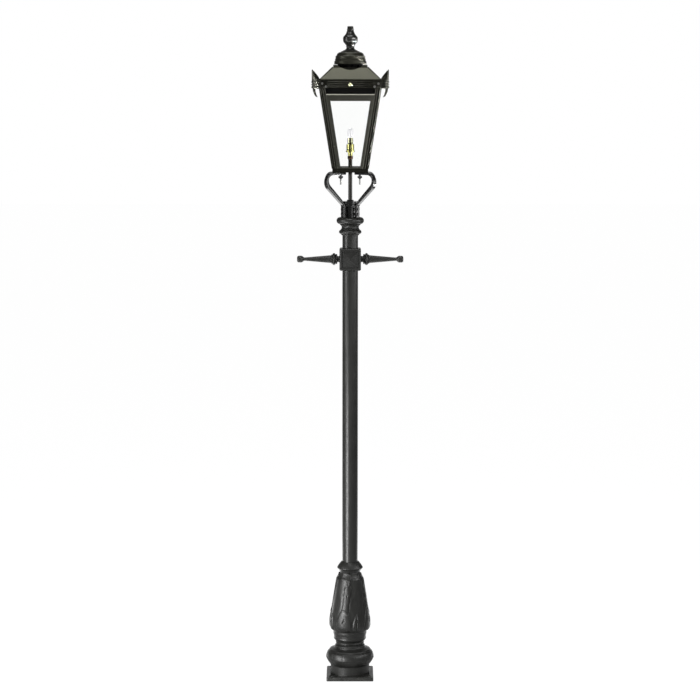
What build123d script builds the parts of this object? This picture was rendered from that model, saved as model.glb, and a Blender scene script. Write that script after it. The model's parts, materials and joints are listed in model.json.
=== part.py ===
from build123d import *
import os
from math import cos, hypot, radians, sin, sqrt, tan

os.makedirs("parts", exist_ok=True)

# Driving dimensions in millimetres. The post stands on z = 0, faces -Y and has its ladder arms along X.

# Fits
slip_clearance = 0.3  # castings over the column tube
thread_clearance = 0.1  # screws, studs and bolts in their holes
running_clearance = 0.06  # hinge pin, roof screw and wing nuts
seat_clearance = 0.3  # roof on the body, lamp on its contact
hinge_side_clearance = 0.4  # between neighbouring knuckles

# Base casting: heights are stacked rises, radii are named for the ring they belong to
plate_side = 270.0
plate_thickness = 22.0
plate_corner_radius = 8.0
anchor_spacing = 216.0
anchor_hole_radius = 9.0
drum_radius = 112.0
drum_rise = 50.0
cushion_radius = 138.0
cushion_rise = 42.0
cushion_shoulder_radius = 113.0
cushion_shoulder_rise = 49.0
waist_radius = 79.5
waist_rise = 29.0
waist_band = 6.0
cup_foot_radius = 90.5
cup_foot_rise = 27.0
cup_ring_radius = 97.0
cup_ring_rise = 47.0
belly_radius = 114.0
belly_rise = 44.0
taper_start_radius = 112.0
taper_start_rise = 34.0
taper_end_radius = 71.0
taper_rise = 238.0
base_neck_radius = 60.0
base_neck_rise = 27.0
base_collar_radius = 72.5
base_collar_rise = 26.0
base_lip_radius = 49.0
base_lip_rise = 36.0
base_wall = 12.0
base_socket_depth = 170.0
base_ledge_thickness = 20.0
base_ledge_hole_radius = 36.0
base_collar_band = 8.0  # flat height of the collar
cup_band = 12.0  # straight height under the cup's ring
cushion_under_bow = 2.0
cushion_top_bow = 7.0
waist_hollow = 6.0
cup_foot_hollow = 3.0
cup_bow = 5.0
belly_bow = 1.0
base_neck_bow = 3.0
base_collar_bow = 1.5

# Column tube and capital
tube_radius = 44.45
tube_wall = 4.0
tube_length = 2135.0
capital_socket_depth = 79.0
capital_foot_radius = 52.0
capital_ring_height = 34.0
capital_ring_radius = 64.5
capital_neck_radius = 56.0
capital_neck_hollow = 6.0
capital_neck_rise = 28.0
capital_bowl_radius = 60.0
capital_bowl_height = 40.0
capital_bowl_swell = 20.0
grub_radius = 4.0
grub_recess = 2.0
base_grub_angles = (30, 90, 150)  # 90 is straight behind
capital_grub_angles = (50, 130)

# Ladder rest
boss_gap = 74.0  # from the capital's foot down to the boss
boss_side = 122.0
boss_length = 126.0
boss_edge_radius = 9.0
boss_panel_side = 92.0
boss_panel_depth = 3.0
boss_point_rise = 7.0
boss_point_side = 1.0
boss_grub_offset = 42.0
arm_spigot_radius = 12.0
arm_spigot_length = 14.0
arm_neck_radius = 18.0
arm_neck_length = 13.0
arm_ring_radius = 34.5
arm_ring_length = 34.0
arm_root_radius = 21.5
arm_tip_radius = 9.5
arm_taper_length = 154.0
arm_knob_radius = 19.0
arm_knob_end_radius = 12.5
arm_knob_length = 41.0

# Frog: stem, ring and four bent arms
stem_radius = 32.0
stem_wall = 5.0
stem_flange_thickness = 6.0
stem_rise = 62.0  # above the capital
frog_ring_radius = 57.0
frog_ring_foot_radius = 50.0
frog_ring_height = 29.0
frog_ring_bow = 1.0
frog_arm_thickness = 14.0
frog_arm_width = 25.0
frog_arm_edge_radius = 3.5
frog_strap_radius = 57.0  # of the straps' middle about the post's axis
frog_bend_radius = 25.0
frog_slope = 39.5  # degrees above the level
frog_slope_start = 20.5  # where the slope's line leaves the strap, under the ring's top
frog_reach = 190.0  # of the arms' middle line
frog_rise = 157.0  # from the ring's top to the middle of the feet
frog_foot_end = 46.0
frog_bolt_radius = 4.0
frog_bolt_head_radius = 7.5
frog_bolt_head_height = 5.0
frog_spacer_radius = 8.0
frog_bolt_heights = (18.0, 46.0)  # above the capital

# Studs and wing nuts under the lantern
stud_offset = 54.0
stud_radius = 4.0
stud_length = 73.0
stud_head_radius = 7.5
stud_head_height = 6.0
wing_hub_radius = 6.5
wing_hub_height = 20.0
wing_span = 26.0
wing_height = 13.0
wing_thickness = 3.6
wing_drop = 11.0

# Lantern body
tray_side = 202.0
tray_height = 22.0
tray_wall = 14.0
tray_plate = 4.0
body_foot_side = 209.0
body_head_side = 341.0
body_height = 417.0
post_leg = 35.0
post_thickness = 5.0
post_core = 11.0  # solid corner inside the angle, and the radius of its rounded edge
post_groove_start = 14.0
post_groove_width = 5.0
post_groove_depth = 2.5
frame_thickness = 6.0
frame_end_clearance = 0.6
opening_foot_side = 113.0
opening_head_side = 228.0
frame_head_rail = 38.0
frame_foot_rail = 8.0
pane_thickness = 3.0
pane_overlap = 6.0
clip_width = 14.0
clip_grip = 5.0
clip_gap = 2.0
clip_foot = 8.0
clip_plate = 2.0
clip_shares = (0.25, 0.75)
top_bead_height = 4.0
top_inner_side = 310.0
upstand_side = 318.0
upstand_height = 25.7

# Lantern roof
cornice_side = 345.0
cornice_height = 46.0
cornice_wall = 14.5
reed_count = 4
reed_depth = 1.5
reed_gap = 3.0
roof_eaves_side = 340.0
roof_band_height = 6.0
roof_top_side = 200.0
roof_rise = 70.0
roof_sheet = 3.0
kerb_side = 192.0  # upright square round the vent collar
kerb_height = 16.0
kerb_wall = 4.0
arch_half = 74.0  # half width of the air arches at the kerb's top
arch_depth = 28.0
arch_start = 78.0  # where the arches end, from the post's axis
collar_radius = 72.0
collar_wall = 3.0
collar_spigot_depth = 15.0  # under the roof's top, inside its round opening
vent_count = 12
vent_width = 16.0
vent_height = 12.0
vent_turn = 7.5  # degrees, so that no vent lies opposite another
dome_lift = 20.0  # rim above the roof's top
dome_rim_radius = 91.5
dome_rim_height = 18.0
dome_rim_wall = 4.0
dome_shoulder_radius = 86.0
dome_shoulder_rise = 9.0
dome_side_radius = 84.0
dome_side_rise = 19.0
dome_crown_radius = 50.0
dome_crown_rise = 27.0
dome_cap_rise = 3.0
dome_ledge_rise = 15.0
dome_inner_radius = 66.0
dome_cap_thickness = 14.0
dome_rim_bow = 1.0
dome_shoulder_hollow = 2.0
dome_crown_bow = 8.0
dome_cap_hollow = 1.0
finial_foot_radius = 39.0
finial_foot_height = 3.0
finial_neck_radius = 22.2
finial_neck_rise = 18.0
finial_neck_length = 5.0
finial_cup_radius = 37.0
finial_cup_rise = 20.0
finial_bulb_radius = 41.5
finial_bulb_rise = 22.0
finial_shoulder_radius = 34.5
finial_shoulder_rise = 15.0
finial_waist_radius = 18.5
finial_waist_rise = 31.0
finial_tip_radius = 16.5
finial_tip_rise = 23.0
finial_foot_hollow = 4.0
finial_cup_hollow = 1.0
finial_bulb_bow = 2.0
finial_waist_hollow = 3.0
finial_rod_radius = 6.0
finial_rod_length = 30.0
finial_nut_radius = 11.0
finial_nut_height = 9.0

# Corner ears
ear_seat_cut = 5.0  # taken off the cornice's corners, along the diagonal
ear_wrap = 4.0
ear_wing = 40.0
ear_wing_height = 40.0
ear_reach = 216.5  # sideways from the post's axis
ear_block_thickness = 16.0
ear_leaf_thickness = 9.0
ear_tip_rise = 58.0  # above the cornice's top
ear_leaf_inset = 8.0
ear_leaf_root_rise = 4.0
ear_leaf_hollow = 5.0
ear_block_inset = 1.0
ear_overlap = 2.0  # of leaf and tail in the block
ear_tail_bow = 2.0
ear_tail_length = 48.0
ear_tail_root = 10.0
ear_tail_tip = 4.0
ear_tail_inset = 15.0
ear_tail_lean = 19.0
ear_tail_thickness = 6.0
ear_bolt_radius = 3.0
ear_bolt_depth = 10.0
ear_bolt_head_radius = 6.5
ear_bolt_head_height = 4.5
ear_bolt_insets = (16.0, 37.0)  # from the cornice's corner
ear_bolt_heights = (27.0, 10.0)  # above the cornice's foot

# Roof hinge at the back
knuckle_radius = 5.5
hinge_length = 110.0
hinge_pin_radius = 2.5
hinge_leaf = 3.0
hinge_back_clearance = 0.8
hinge_body_leaf_height = 19.0
hinge_roof_leaf_height = 26.0
hinge_web = 6.0
knuckle_count = 5

# Roof screw and its keeper
screw_height = 21.0  # above the cornice's foot
screw_radius = 4.0
screw_tip = 8.0  # past the keeper
screw_collar_radius = 7.5
screw_collar_length = 4.0
screw_knob_radius = 11.0
screw_knob_length = 11.0
screw_knob_round = 3.0
screw_knob_gap = 0.5
screw_knob_bow = 1.0
keeper_width = 26.0
keeper_thickness = 4.0
keeper_rise = 8.0  # of its top above the screw's axis
keeper_slot_clearance = 0.5

# Lamp
lamp_tube_radius = 11.5
lamp_tube_wall = 1.5
lamp_tube_top = 92.0  # above the tray's foot
lock_nut_radius = 19.0
lock_nut_height = 7.0
copper_ring_radius = 15.0
copper_ring_height = 17.0
copper_ring_drop = 2.0
holder_neck_radius = 13.5
holder_neck_height = 20.0
holder_radius = 21.5
holder_height = 45.0
holder_wall = 2.0
holder_floor = 3.0
shade_ring_radius = 25.0
shade_ring_height = 7.0
shade_ring_rise = 2.0
core_height = 36.0
core_floor = 5.0
contact_radius = 5.0
contact_height = 4.0
wire_hole_radius = 3.5
lamp_cap_radius = 13.0
lamp_cap_clearance = 0.6
lamp_cap_length = 29.0
lamp_collar_radius = 15.5
lamp_collar_height = 40.0
lamp_collar_gap = 1.0
lamp_glass_radius = 17.0
lamp_glass_height = 55.0
lamp_glass_wall = 1.2
filament_radius = 3.5
filament_height = 34.0

# Heights that follow
z_drum = plate_thickness + drum_rise
z_cushion = z_drum + cushion_rise
z_shoulder = z_cushion + cushion_shoulder_rise
z_waist = z_shoulder + waist_rise
z_cup_foot = z_waist + waist_band + cup_foot_rise
z_cup_ring = z_cup_foot + cup_ring_rise
z_belly = z_cup_ring + belly_rise
z_taper_start = z_belly + taper_start_rise
z_taper_end = z_taper_start + taper_rise
z_base_neck = z_taper_end + base_neck_rise
z_base_collar = z_base_neck + base_collar_rise
z_base_top = z_base_collar + base_lip_rise
z_tube = z_base_top - base_socket_depth
z_tube_top = z_tube + tube_length
z_capital = z_tube_top - capital_socket_depth
z_boss = z_capital - boss_gap - boss_length / 2  # the boss's middle
z_capital_ring_top = z_capital + capital_ring_height
z_bowl = z_capital_ring_top + capital_neck_rise
z_capital_top = z_bowl + capital_bowl_height
z_stem_top = z_capital_top + stem_rise
z_ring_top = z_stem_top + frog_ring_height
z_foot_middle = z_ring_top + frog_rise
z_foot_bottom = z_foot_middle - frog_arm_thickness / 2
z_tray = z_foot_middle + frog_arm_thickness / 2
z_tray_floor = z_tray + tray_plate
z_body = z_tray + tray_height
z_body_top = z_body + body_height
z_upstand_top = z_body_top + top_bead_height + upstand_height
z_cornice = z_upstand_top + seat_clearance
z_eaves = z_cornice + cornice_height
z_roof_top = z_eaves + roof_rise
z_rim = z_roof_top + dome_lift
z_dome_ledge = z_rim + dome_ledge_rise
z_dome_side = z_rim + dome_rim_height + dome_shoulder_rise
z_dome_top = z_dome_side + dome_side_rise + dome_crown_rise + dome_cap_rise
z_dome_ceiling = z_dome_top - dome_cap_thickness
z_holder = z_tray + lamp_tube_top
z_cup = z_holder + holder_neck_height
z_cup_top = z_cup + holder_height
z_core = z_cup + holder_floor
z_contact = z_core + core_floor
z_lamp_cap = z_contact + contact_height + seat_clearance
z_lamp_collar = z_lamp_cap + lamp_cap_length
z_lamp_glass = z_lamp_collar + lamp_collar_height
z_screw = z_cornice + screw_height

# Other values that several pieces share
tube_bore = tube_radius + slip_clearance
grub_hole = grub_radius + thread_clearance
stem_bore = stem_radius + slip_clearance
lamp_tube_hole = lamp_tube_radius + thread_clearance
stud_hole = stud_radius + thread_clearance
stud_circle = stud_offset * sqrt(2)
body_lean = (body_head_side - body_foot_side) / 2 / body_height
lean_cosine = 1 / hypot(1, body_lean)
lean_sine = body_lean * lean_cosine
cornice_half = cornice_side / 2
ear_seat = cornice_half * sqrt(2) - ear_seat_cut
hinge_y = cornice_half + knuckle_radius + hinge_back_clearance
hinge_z = z_cornice
keeper_y = -top_inner_side / 2
corners = {"front_right": -90, "back_right": 0, "back_left": 90, "front_left": 180}
sides = {"front": 0, "right": 90, "back": 180, "left": 270}
level = (Align.CENTER, Align.CENTER, Align.MIN)


def outline(*points):
    """A closed face through (radius, height) points; a third number bows that stretch outwards by so much."""
    edges = []
    here = points[0]
    for point in points[1:]:
        there = point[:2]
        if len(point) == 3:
            run, rise = there[0] - here[0], there[1] - here[1]
            share = point[2] / hypot(run, rise)
            middle = ((here[0] + there[0]) / 2 + share * rise, (here[1] + there[1]) / 2 - share * run)
            edges.append(ThreePointArc(here, middle, there))
        else:
            edges.append(Line(here, there))
        here = there
    if here != points[0]:
        edges.append(Line(here, points[0]))
    return make_face(edges)


def turned(*points):
    return revolve(Plane.XZ * outline(*points), Axis.Z)


def rod(radius, foot, head):
    return Pos(0, 0, foot) * Cylinder(radius, head - foot, align=level)


def pipe(radius, bore, foot, head):
    return turned((bore, foot), (radius, foot), (radius, head), (bore, head))


def spoke(radius, inner, outer, height):
    return Pos(inner, 0, height) * Rot(0, 90, 0) * Cylinder(radius, outer - inner, align=level)


def hexagon(radius, foot, head):
    return extrude(Pos(0, 0, foot) * RegularPolygon(radius, 6), amount=head - foot)


def prism(side, foot, head):
    return Pos(0, 0, foot) * Box(side, side, head - foot, align=level)


def square_ring(side, inner_side, foot, head):
    return prism(side, foot, head) - prism(inner_side, foot, head)


def frustum(foot_side, foot, head_side, head):
    lower = Pos(0, 0, foot) * Rectangle(foot_side, foot_side)
    upper = Pos(0, 0, head) * Rectangle(head_side, head_side)
    return loft([lower, upper])


def slab(x, y, z):
    """A box from three (low, high) pairs."""
    size = [pair[1] - pair[0] for pair in (x, y, z)]
    return Pos(x[0], y[0], z[0]) * Box(*size, align=(Align.MIN, Align.MIN, Align.MIN))


def about(piece, angle):
    return Rot(0, 0, angle) * piece


def save(name, shape):
    export_step(shape, f"parts/{name}.step")


def group(name, solids):
    export_step(Compound(children=[Part(solid.solids()) for solid in solids]), f"parts/{name}.step")


# Grub screws: three in the base's collar, two in the boss and two in the capital, all from behind
z_capital_grub = z_capital + capital_ring_height / 2
grubs = [(angle, z_base_collar, base_collar_radius) for angle in base_grub_angles]
grubs += [(90, z_boss + offset, boss_side / 2) for offset in (-boss_grub_offset, boss_grub_offset)]
grubs += [(angle, z_capital_grub, capital_ring_radius) for angle in capital_grub_angles]


def with_grub_holes(piece, height_low, height_high):
    for angle, height, surface in grubs:
        if height_low < height < height_high:
            piece -= about(spoke(grub_hole, tube_radius - tube_wall, surface + base_wall, height), angle)
    return piece


grub_screws = []
for angle, height, surface in grubs:
    screw = spoke(grub_radius, tube_radius + thread_clearance, surface - grub_recess, height)
    grub_screws.append(about(screw, angle))
group("grub_screws", grub_screws)


# Base casting
base = turned(
    (0, 0),
    (drum_radius, 0),
    (drum_radius, z_drum),
    (cushion_radius, z_cushion, cushion_under_bow),
    (cushion_shoulder_radius, z_shoulder, cushion_top_bow),
    (waist_radius, z_waist, -waist_hollow),
    (waist_radius, z_waist + waist_band),
    (cup_foot_radius, z_cup_foot, -cup_foot_hollow),
    (cup_ring_radius, z_cup_ring - cup_band),
    (cup_ring_radius, z_cup_ring),
    (belly_radius, z_belly, cup_bow),
    (taper_start_radius, z_taper_start, belly_bow),
    (taper_end_radius, z_taper_end),
    (base_neck_radius, z_base_neck, base_neck_bow),
    (base_collar_radius, z_base_collar - base_collar_band / 2, -base_neck_bow),
    (base_collar_radius, z_base_collar + base_collar_band / 2, base_collar_bow),
    (base_lip_radius, z_base_top, base_collar_bow),
    (0, z_base_top),
)
plate = Pos(0, 0, plate_thickness / 2) * Box(plate_side, plate_side, plate_thickness)
base += fillet(plate.edges().filter_by(Axis.Z), plate_corner_radius)
base -= turned(
    (0, 0),
    (drum_radius - base_wall, 0),
    (drum_radius - base_wall, z_drum),
    (waist_radius - base_wall, z_waist),
    (waist_radius - base_wall, z_waist + waist_band),
    (cup_ring_radius - base_wall, z_cup_ring),
    (belly_radius - base_wall, z_belly),
    (base_ledge_hole_radius, z_tube - base_ledge_thickness),
    (base_ledge_hole_radius, z_tube),
    (tube_bore, z_tube),
    (tube_bore, z_base_top),
    (0, z_base_top),
)
for x in (-1, 1):
    for y in (-1, 1):
        place = Pos(x * anchor_spacing / 2, y * anchor_spacing / 2, 0)
        base -= place * rod(anchor_hole_radius, 0, plate_thickness)
save("base_casting", with_grub_holes(base, 0, z_base_top))


# Column tube and capital
save("column_tube", pipe(tube_radius, tube_radius - tube_wall, z_tube, z_tube_top))

z_flange_top = z_tube_top + stem_flange_thickness
capital = turned(
    (0, z_capital),
    (capital_foot_radius, z_capital),
    (capital_foot_radius, z_capital_ring_top, capital_ring_radius - capital_foot_radius),
    (capital_neck_radius, z_bowl, -capital_neck_hollow),
    (capital_bowl_radius, z_bowl),
    (capital_bowl_radius, z_capital_top, capital_bowl_swell),
    (0, z_capital_top),
)
capital -= rod(tube_bore, z_capital, z_flange_top)
capital -= rod(stem_bore, z_flange_top, z_capital_top)
save("column_capital", with_grub_holes(capital, z_capital, z_capital_top))


# Ladder rest: a boss on the tube with a turned arm each side
half_boss = boss_side / 2
arm_hole = arm_spigot_radius + thread_clearance
block = Pos(0, 0, z_boss) * Box(boss_side, boss_side, boss_length)
block = fillet(block.edges(), boss_edge_radius)
for angle in (0, 180):
    face = Plane(origin=(0, -half_boss, z_boss), x_dir=(1, 0, 0), z_dir=(0, -1, 0))
    panel = face * Rectangle(boss_panel_side, boss_panel_side)
    block -= about(extrude(panel, amount=-boss_panel_depth), angle)
    sunk = face.offset(-boss_panel_depth)
    point = sunk.offset(boss_point_rise) * Rectangle(boss_point_side, boss_point_side)
    block += about(loft([sunk * Rectangle(boss_panel_side, boss_panel_side), point]), angle)
block -= rod(tube_bore, z_boss - boss_length / 2, z_boss + boss_length / 2)
for angle in (0, 180):
    block -= about(spoke(arm_hole, tube_radius, half_boss, z_boss), angle)
block_low = z_boss - boss_length / 2
save("ladder_boss", with_grub_holes(block, block_low, block_low + boss_length))

arm_ring_start = half_boss + arm_neck_length
arm_taper_start = arm_ring_start + arm_ring_length
arm_knob_start = arm_taper_start + arm_taper_length
arm_end = arm_knob_start + arm_knob_length
arm_swell = arm_ring_radius - arm_root_radius
arm = turned(
    (0, half_boss - arm_spigot_length),
    (arm_spigot_radius, half_boss - arm_spigot_length),
    (arm_spigot_radius, half_boss),
    (arm_neck_radius, half_boss),
    (arm_neck_radius, arm_ring_start),
    (arm_root_radius, arm_ring_start),
    (arm_root_radius, arm_taper_start, arm_swell),
    (arm_tip_radius, arm_knob_start),
    (arm_knob_end_radius, arm_knob_start),
    (arm_knob_end_radius, arm_end, arm_knob_radius - arm_knob_end_radius),
    (0, arm_end),
)
arm = Pos(0, 0, z_boss) * Rot(0, 90, 0) * arm
save("ladder_arm_right", arm)
save("ladder_arm_left", about(arm, 180))


# Frog stem and ring
stem = rod(stem_radius, z_tube_top, z_stem_top) + rod(tube_radius, z_tube_top, z_flange_top)
stem -= rod(stem_radius - stem_wall, z_tube_top, z_stem_top)
strap_inner = frog_strap_radius - frog_arm_thickness / 2
strap_outer = frog_strap_radius + frog_arm_thickness / 2
bolt_places = [z_capital_top + rise for rise in frog_bolt_heights]
for height in bolt_places:
    for angle in corners.values():
        hole = spoke(frog_bolt_radius + thread_clearance, 0, strap_outer, height)
        stem -= about(hole, angle + 45)
save("frog_stem", stem)

ring = turned(
    (0, z_stem_top),
    (frog_ring_foot_radius, z_stem_top),
    (frog_ring_foot_radius, z_stem_top + frog_ring_height / 3),
    (frog_ring_radius, z_stem_top + frog_ring_height / 2, -frog_ring_bow),
    (frog_ring_radius, z_ring_top),
    (0, z_ring_top),
)
ring -= rod(lamp_tube_hole, z_stem_top, z_ring_top)


# Frog arms: one bar bent from a strap beside the stem, out along the slope and back under the lantern
slope = radians(frog_slope)
z_slope = z_ring_top - frog_slope_start
slope_rise = z_foot_middle - z_slope
turn_out = frog_strap_radius + slope_rise / tan(slope)
bow_radius = (turn_out - frog_reach) / ((1 + cos(slope)) / sin(slope) - 1)
z_strap = z_capital_top + slip_clearance
route = FilletPolyline(
    (frog_strap_radius, z_strap),
    (frog_strap_radius, z_slope),
    (turn_out, z_foot_middle),
    (frog_foot_end, z_foot_middle),
    radius=[frog_bend_radius, bow_radius],
)
section = RectangleRounded(frog_arm_thickness, frog_arm_width, frog_arm_edge_radius)
bar = sweep(Pos(frog_strap_radius, 0, z_strap) * section, path=Plane.XZ * route)
notch_width = frog_arm_width + 2 * thread_clearance
notch_inner = strap_inner - thread_clearance
notch = slab(
    (notch_inner, frog_reach),
    (-notch_width / 2, notch_width / 2),
    (z_stem_top, z_ring_top),
)
bar -= Pos(stud_circle, 0, 0) * rod(stud_hole, z_foot_bottom, z_tray)
for height in bolt_places:
    bar -= spoke(frog_bolt_radius + thread_clearance, 0, strap_outer, height)
for corner, angle in corners.items():
    ring -= about(notch, angle + 45)
    save(f"frog_arm_{corner}", about(bar, angle + 45))
save("frog_ring", ring)

arm_bolts = []
bolt_tip = stem_radius - stem_wall
spacer_start = stem_radius + slip_clearance
for height in bolt_places:
    bolt = spoke(frog_bolt_radius, bolt_tip, strap_outer, height)
    bolt += spoke(frog_spacer_radius, spacer_start, strap_inner, height)
    bolt += spoke(frog_bolt_head_radius, strap_outer, strap_outer + frog_bolt_head_height, height)
    arm_bolts += [about(bolt, angle + 45) for angle in corners.values()]
group("frog_arm_bolts", arm_bolts)


# Lantern studs and wing nuts
z_stud_top = z_tray_floor + stud_head_height
stud = rod(stud_radius, z_tray_floor - stud_length, z_tray_floor)
stud += hexagon(stud_head_radius, z_tray_floor, z_stud_top)
wing_nut = rod(wing_hub_radius, z_foot_bottom - wing_hub_height, z_foot_bottom - running_clearance)
wing_foot = z_foot_bottom - wing_drop - wing_height
wing = Plane.XZ * Pos(0, wing_foot + wing_height / 2) * SlotOverall(wing_span, wing_height)
wing_nut += extrude(wing, amount=wing_thickness / 2, both=True)
wing_nut -= rod(stud_radius + running_clearance, wing_foot, z_foot_bottom)
studs = []
for corner, angle in corners.items():
    place = Rot(0, 0, angle + 45) * Pos(stud_circle, 0, 0) * Rot(0, 0, -angle - 45)
    studs.append(place * stud)
    save(f"wing_nut_{corner}", place * wing_nut)
group("lantern_studs", studs)


# Lantern tray
tray = prism(tray_side, z_tray, z_body) - prism(tray_side - 2 * tray_wall, z_tray_floor, z_body)
tray -= rod(lamp_tube_hole, z_tray, z_tray_floor)
for angle in corners.values():
    tray -= about(Pos(stud_circle, 0, 0) * rod(stud_hole, z_tray, z_tray_floor), angle + 45)
save("lantern_tray", tray)


# Corner posts: an angle section with a groove along each leg, leaning outwards
half_foot = body_foot_side / 2
groove_end = post_groove_start + post_groove_width
leg_profile = [
    (post_groove_start, 0),
    (post_groove_start, post_groove_depth),
    (groove_end, post_groove_depth),
    (groove_end, 0),
    (post_leg, 0),
    (post_leg, post_thickness),
    (post_core, post_thickness),
]
angle_points = [(0, 0), *leg_profile, (post_core, post_core)]
angle_points += [(y, x) for x, y in reversed(leg_profile)]
angle_face = make_face(Polyline(*angle_points, close=True))
outer_corner = angle_face.vertices().sort_by_distance((0, 0, 0))[0]
angle_face = fillet(outer_corner, post_core)
post_length = (z_upstand_top - z_body) * hypot(1, body_lean * sqrt(2))
post = Pos(-half_foot, -half_foot, z_body) * angle_face
post = extrude(post, amount=post_length, dir=(-body_lean, -body_lean, 1))
for corner, angle in corners.items():
    save(f"corner_post_{corner}", about(post, angle + 180))


# Glazing frames, panes and clips, laid out on the leaning front plane and turned to each side
def front_plane(depth):
    """The front's plane, so far behind the posts' outer faces at its foot."""
    return Plane(origin=(0, depth - half_foot, z_body), x_dir=(1, 0, 0), z_dir=(0, -lean_cosine, -lean_sine))


def trapezium(plane, foot_half, head_half, low, high):
    points = [(-foot_half, low), (foot_half, low), (head_half, high), (-head_half, high)]
    return plane * make_face(Polyline(*points, close=True))


slant = body_height / lean_cosine
frame_depth = frame_thickness / lean_cosine
pane_depth = pane_thickness / lean_cosine
frame_top = slant - frame_thickness * body_lean - frame_end_clearance
frame_inset = post_thickness + frame_depth + frame_end_clearance
frame_half_foot = half_foot - frame_inset
frame_half_head = frame_half_foot + frame_top * lean_sine
opening_top = frame_top - frame_head_rail
opening_half_foot = opening_foot_side / 2
opening_half_head = opening_head_side / 2
frame_plane = front_plane(post_thickness)
glazing_frame = extrude(
    trapezium(frame_plane, frame_half_foot, frame_half_head, 0, frame_top)
    - trapezium(frame_plane, opening_half_foot, opening_half_head, frame_foot_rail, opening_top),
    amount=-frame_thickness,
)
pane_plane = front_plane(post_thickness + frame_depth)
pane_half_foot = opening_half_foot + pane_overlap
pane_half_head = opening_half_head + pane_overlap
pane_foot = frame_foot_rail - pane_overlap
pane_head = opening_top + pane_overlap
pane = trapezium(pane_plane, pane_half_foot, pane_half_head, pane_foot, pane_head)
pane = extrude(pane, amount=-pane_thickness)
clip_plane = front_plane(post_thickness + frame_depth + pane_depth)
clips = []
for share in clip_shares:
    along = pane_foot + share * (pane_head - pane_foot)
    edge = pane_half_foot + share * (pane_half_head - pane_half_foot)
    for hand in (-1, 1):
        plate_middle = hand * (edge + (clip_gap + clip_foot - clip_grip) / 2)
        plate_width = clip_grip + clip_gap + clip_foot
        plate_face = clip_plane * Pos(plate_middle, along) * Rectangle(plate_width, clip_width)
        foot_middle = hand * (edge + clip_gap + clip_foot / 2)
        foot_face = clip_plane * Pos(foot_middle, along) * Rectangle(clip_foot, clip_width)
        clips.append(extrude(plate_face, amount=-clip_plate) + extrude(foot_face, amount=pane_thickness))
all_clips = []
for side, angle in sides.items():
    save(f"glazing_frame_{side}", about(glazing_frame, angle))
    save(f"pane_{side}", about(pane, angle))
    all_clips += [about(clip, angle) for clip in clips]
group("glazing_clips", all_clips)


# Top frame: a bead between the posts, an upstand that carries the roof and the slotted keeper of the roof screw
z_upstand = z_body_top + top_bead_height
top_bead_side = body_head_side - 2 * (post_thickness + slip_clearance)
top_frame = square_ring(top_bead_side, top_inner_side, z_body_top, z_upstand)
core_line = body_head_side / 2 - post_core - slip_clearance
bead_corner = slab((core_line, top_bead_side), (core_line, top_bead_side), (z_body_top, z_upstand))
for angle in corners.values():
    top_frame -= about(bead_corner, angle)
top_frame += square_ring(upstand_side, top_inner_side, z_upstand, z_upstand_top)
keeper_x = (-keeper_width / 2, keeper_width / 2)
keeper = slab(keeper_x, (keeper_y, keeper_y + keeper_thickness), (z_body_top, z_screw + keeper_rise))
slot_half = screw_radius + keeper_slot_clearance
slot_y = (keeper_y, keeper_y + keeper_thickness)
keeper -= slab((-slot_half, slot_half), slot_y, (z_screw, z_screw + keeper_rise))
slot_round = Plane(origin=(0, keeper_y, z_screw), z_dir=(0, 1, 0)) * Circle(slot_half)
keeper -= extrude(slot_round, amount=keeper_thickness)
save("top_frame", top_frame + keeper)


# Cornice: reeded square ring with its corners cut for the ears
cornice_inner = cornice_side - 2 * cornice_wall
cornice = square_ring(cornice_side - 2 * reed_depth, cornice_inner, z_cornice, z_eaves)
reed_height = (cornice_height - (reed_count - 1) * reed_gap) / reed_count
for index in range(reed_count):
    foot = z_cornice + index * (reed_height + reed_gap)
    cornice += square_ring(cornice_side, cornice_inner, foot, foot + reed_height)
cornice = cornice & about(prism(2 * ear_seat, z_cornice, z_eaves), 45)
z_wing = z_cornice + (cornice_height - ear_wing_height) / 2
ear_bolt = spoke(ear_bolt_radius, cornice_half - ear_bolt_depth, cornice_half + ear_wrap, z_cornice)
ear_head_start = cornice_half + ear_wrap
ear_head_end = ear_head_start + ear_bolt_head_height
ear_bolt += spoke(ear_bolt_head_radius, ear_head_start, ear_head_end, z_cornice)
ear_bolt_hole = spoke(
    ear_bolt_radius + thread_clearance,
    cornice_half - ear_bolt_depth - slip_clearance,
    ear_head_start,
    z_cornice,
)
ear_bolt_places = [
    Rot(0, 0, angle) * Pos(0, hand * (cornice_half - inset), rise)
    for angle in sides.values()
    for hand in (-1, 1)
    for inset, rise in zip(ear_bolt_insets, ear_bolt_heights)
]
for place in ear_bolt_places:
    cornice -= place * ear_bolt_hole
screw_hole = screw_radius + running_clearance
cornice -= Rot(0, 0, -90) * spoke(screw_hole, cornice_inner / 2, cornice_half, z_screw)
save("cornice", cornice)
group("ear_bolts", [place * ear_bolt for place in ear_bolt_places])


# Corner ears: a strap round the cornice's corner, a block, an upright leaf and a tail
seat_line = ear_seat * sqrt(2)
wrap_line = (ear_seat + ear_wrap) * sqrt(2)
wrap_half = cornice_half + ear_wrap
wing_end = seat_line - cornice_half - ear_wing
wrap_points = [
    (cornice_half, wing_end),
    (wrap_half, wing_end),
    (wrap_half, wrap_line - wrap_half),
    (wrap_line - wrap_half, wrap_half),
    (wing_end, wrap_half),
    (wing_end, cornice_half),
    (seat_line - cornice_half, cornice_half),
    (cornice_half, seat_line - cornice_half),
]
wrap_face = make_face(Polyline(*wrap_points, close=True))
ear_wrap_strap = extrude(Pos(0, 0, z_wing) * wrap_face, amount=ear_wing_height)
reach = ear_reach * sqrt(2) - ear_block_thickness / 2
root = ear_seat + ear_wrap / 2
leaf_root = (cornice_half + ear_leaf_inset) * sqrt(2)
z_tip = z_eaves + ear_tip_rise
tail_root = reach - ear_tail_inset
z_block = z_cornice + ear_block_inset
z_block_top = z_eaves - ear_block_inset


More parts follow.
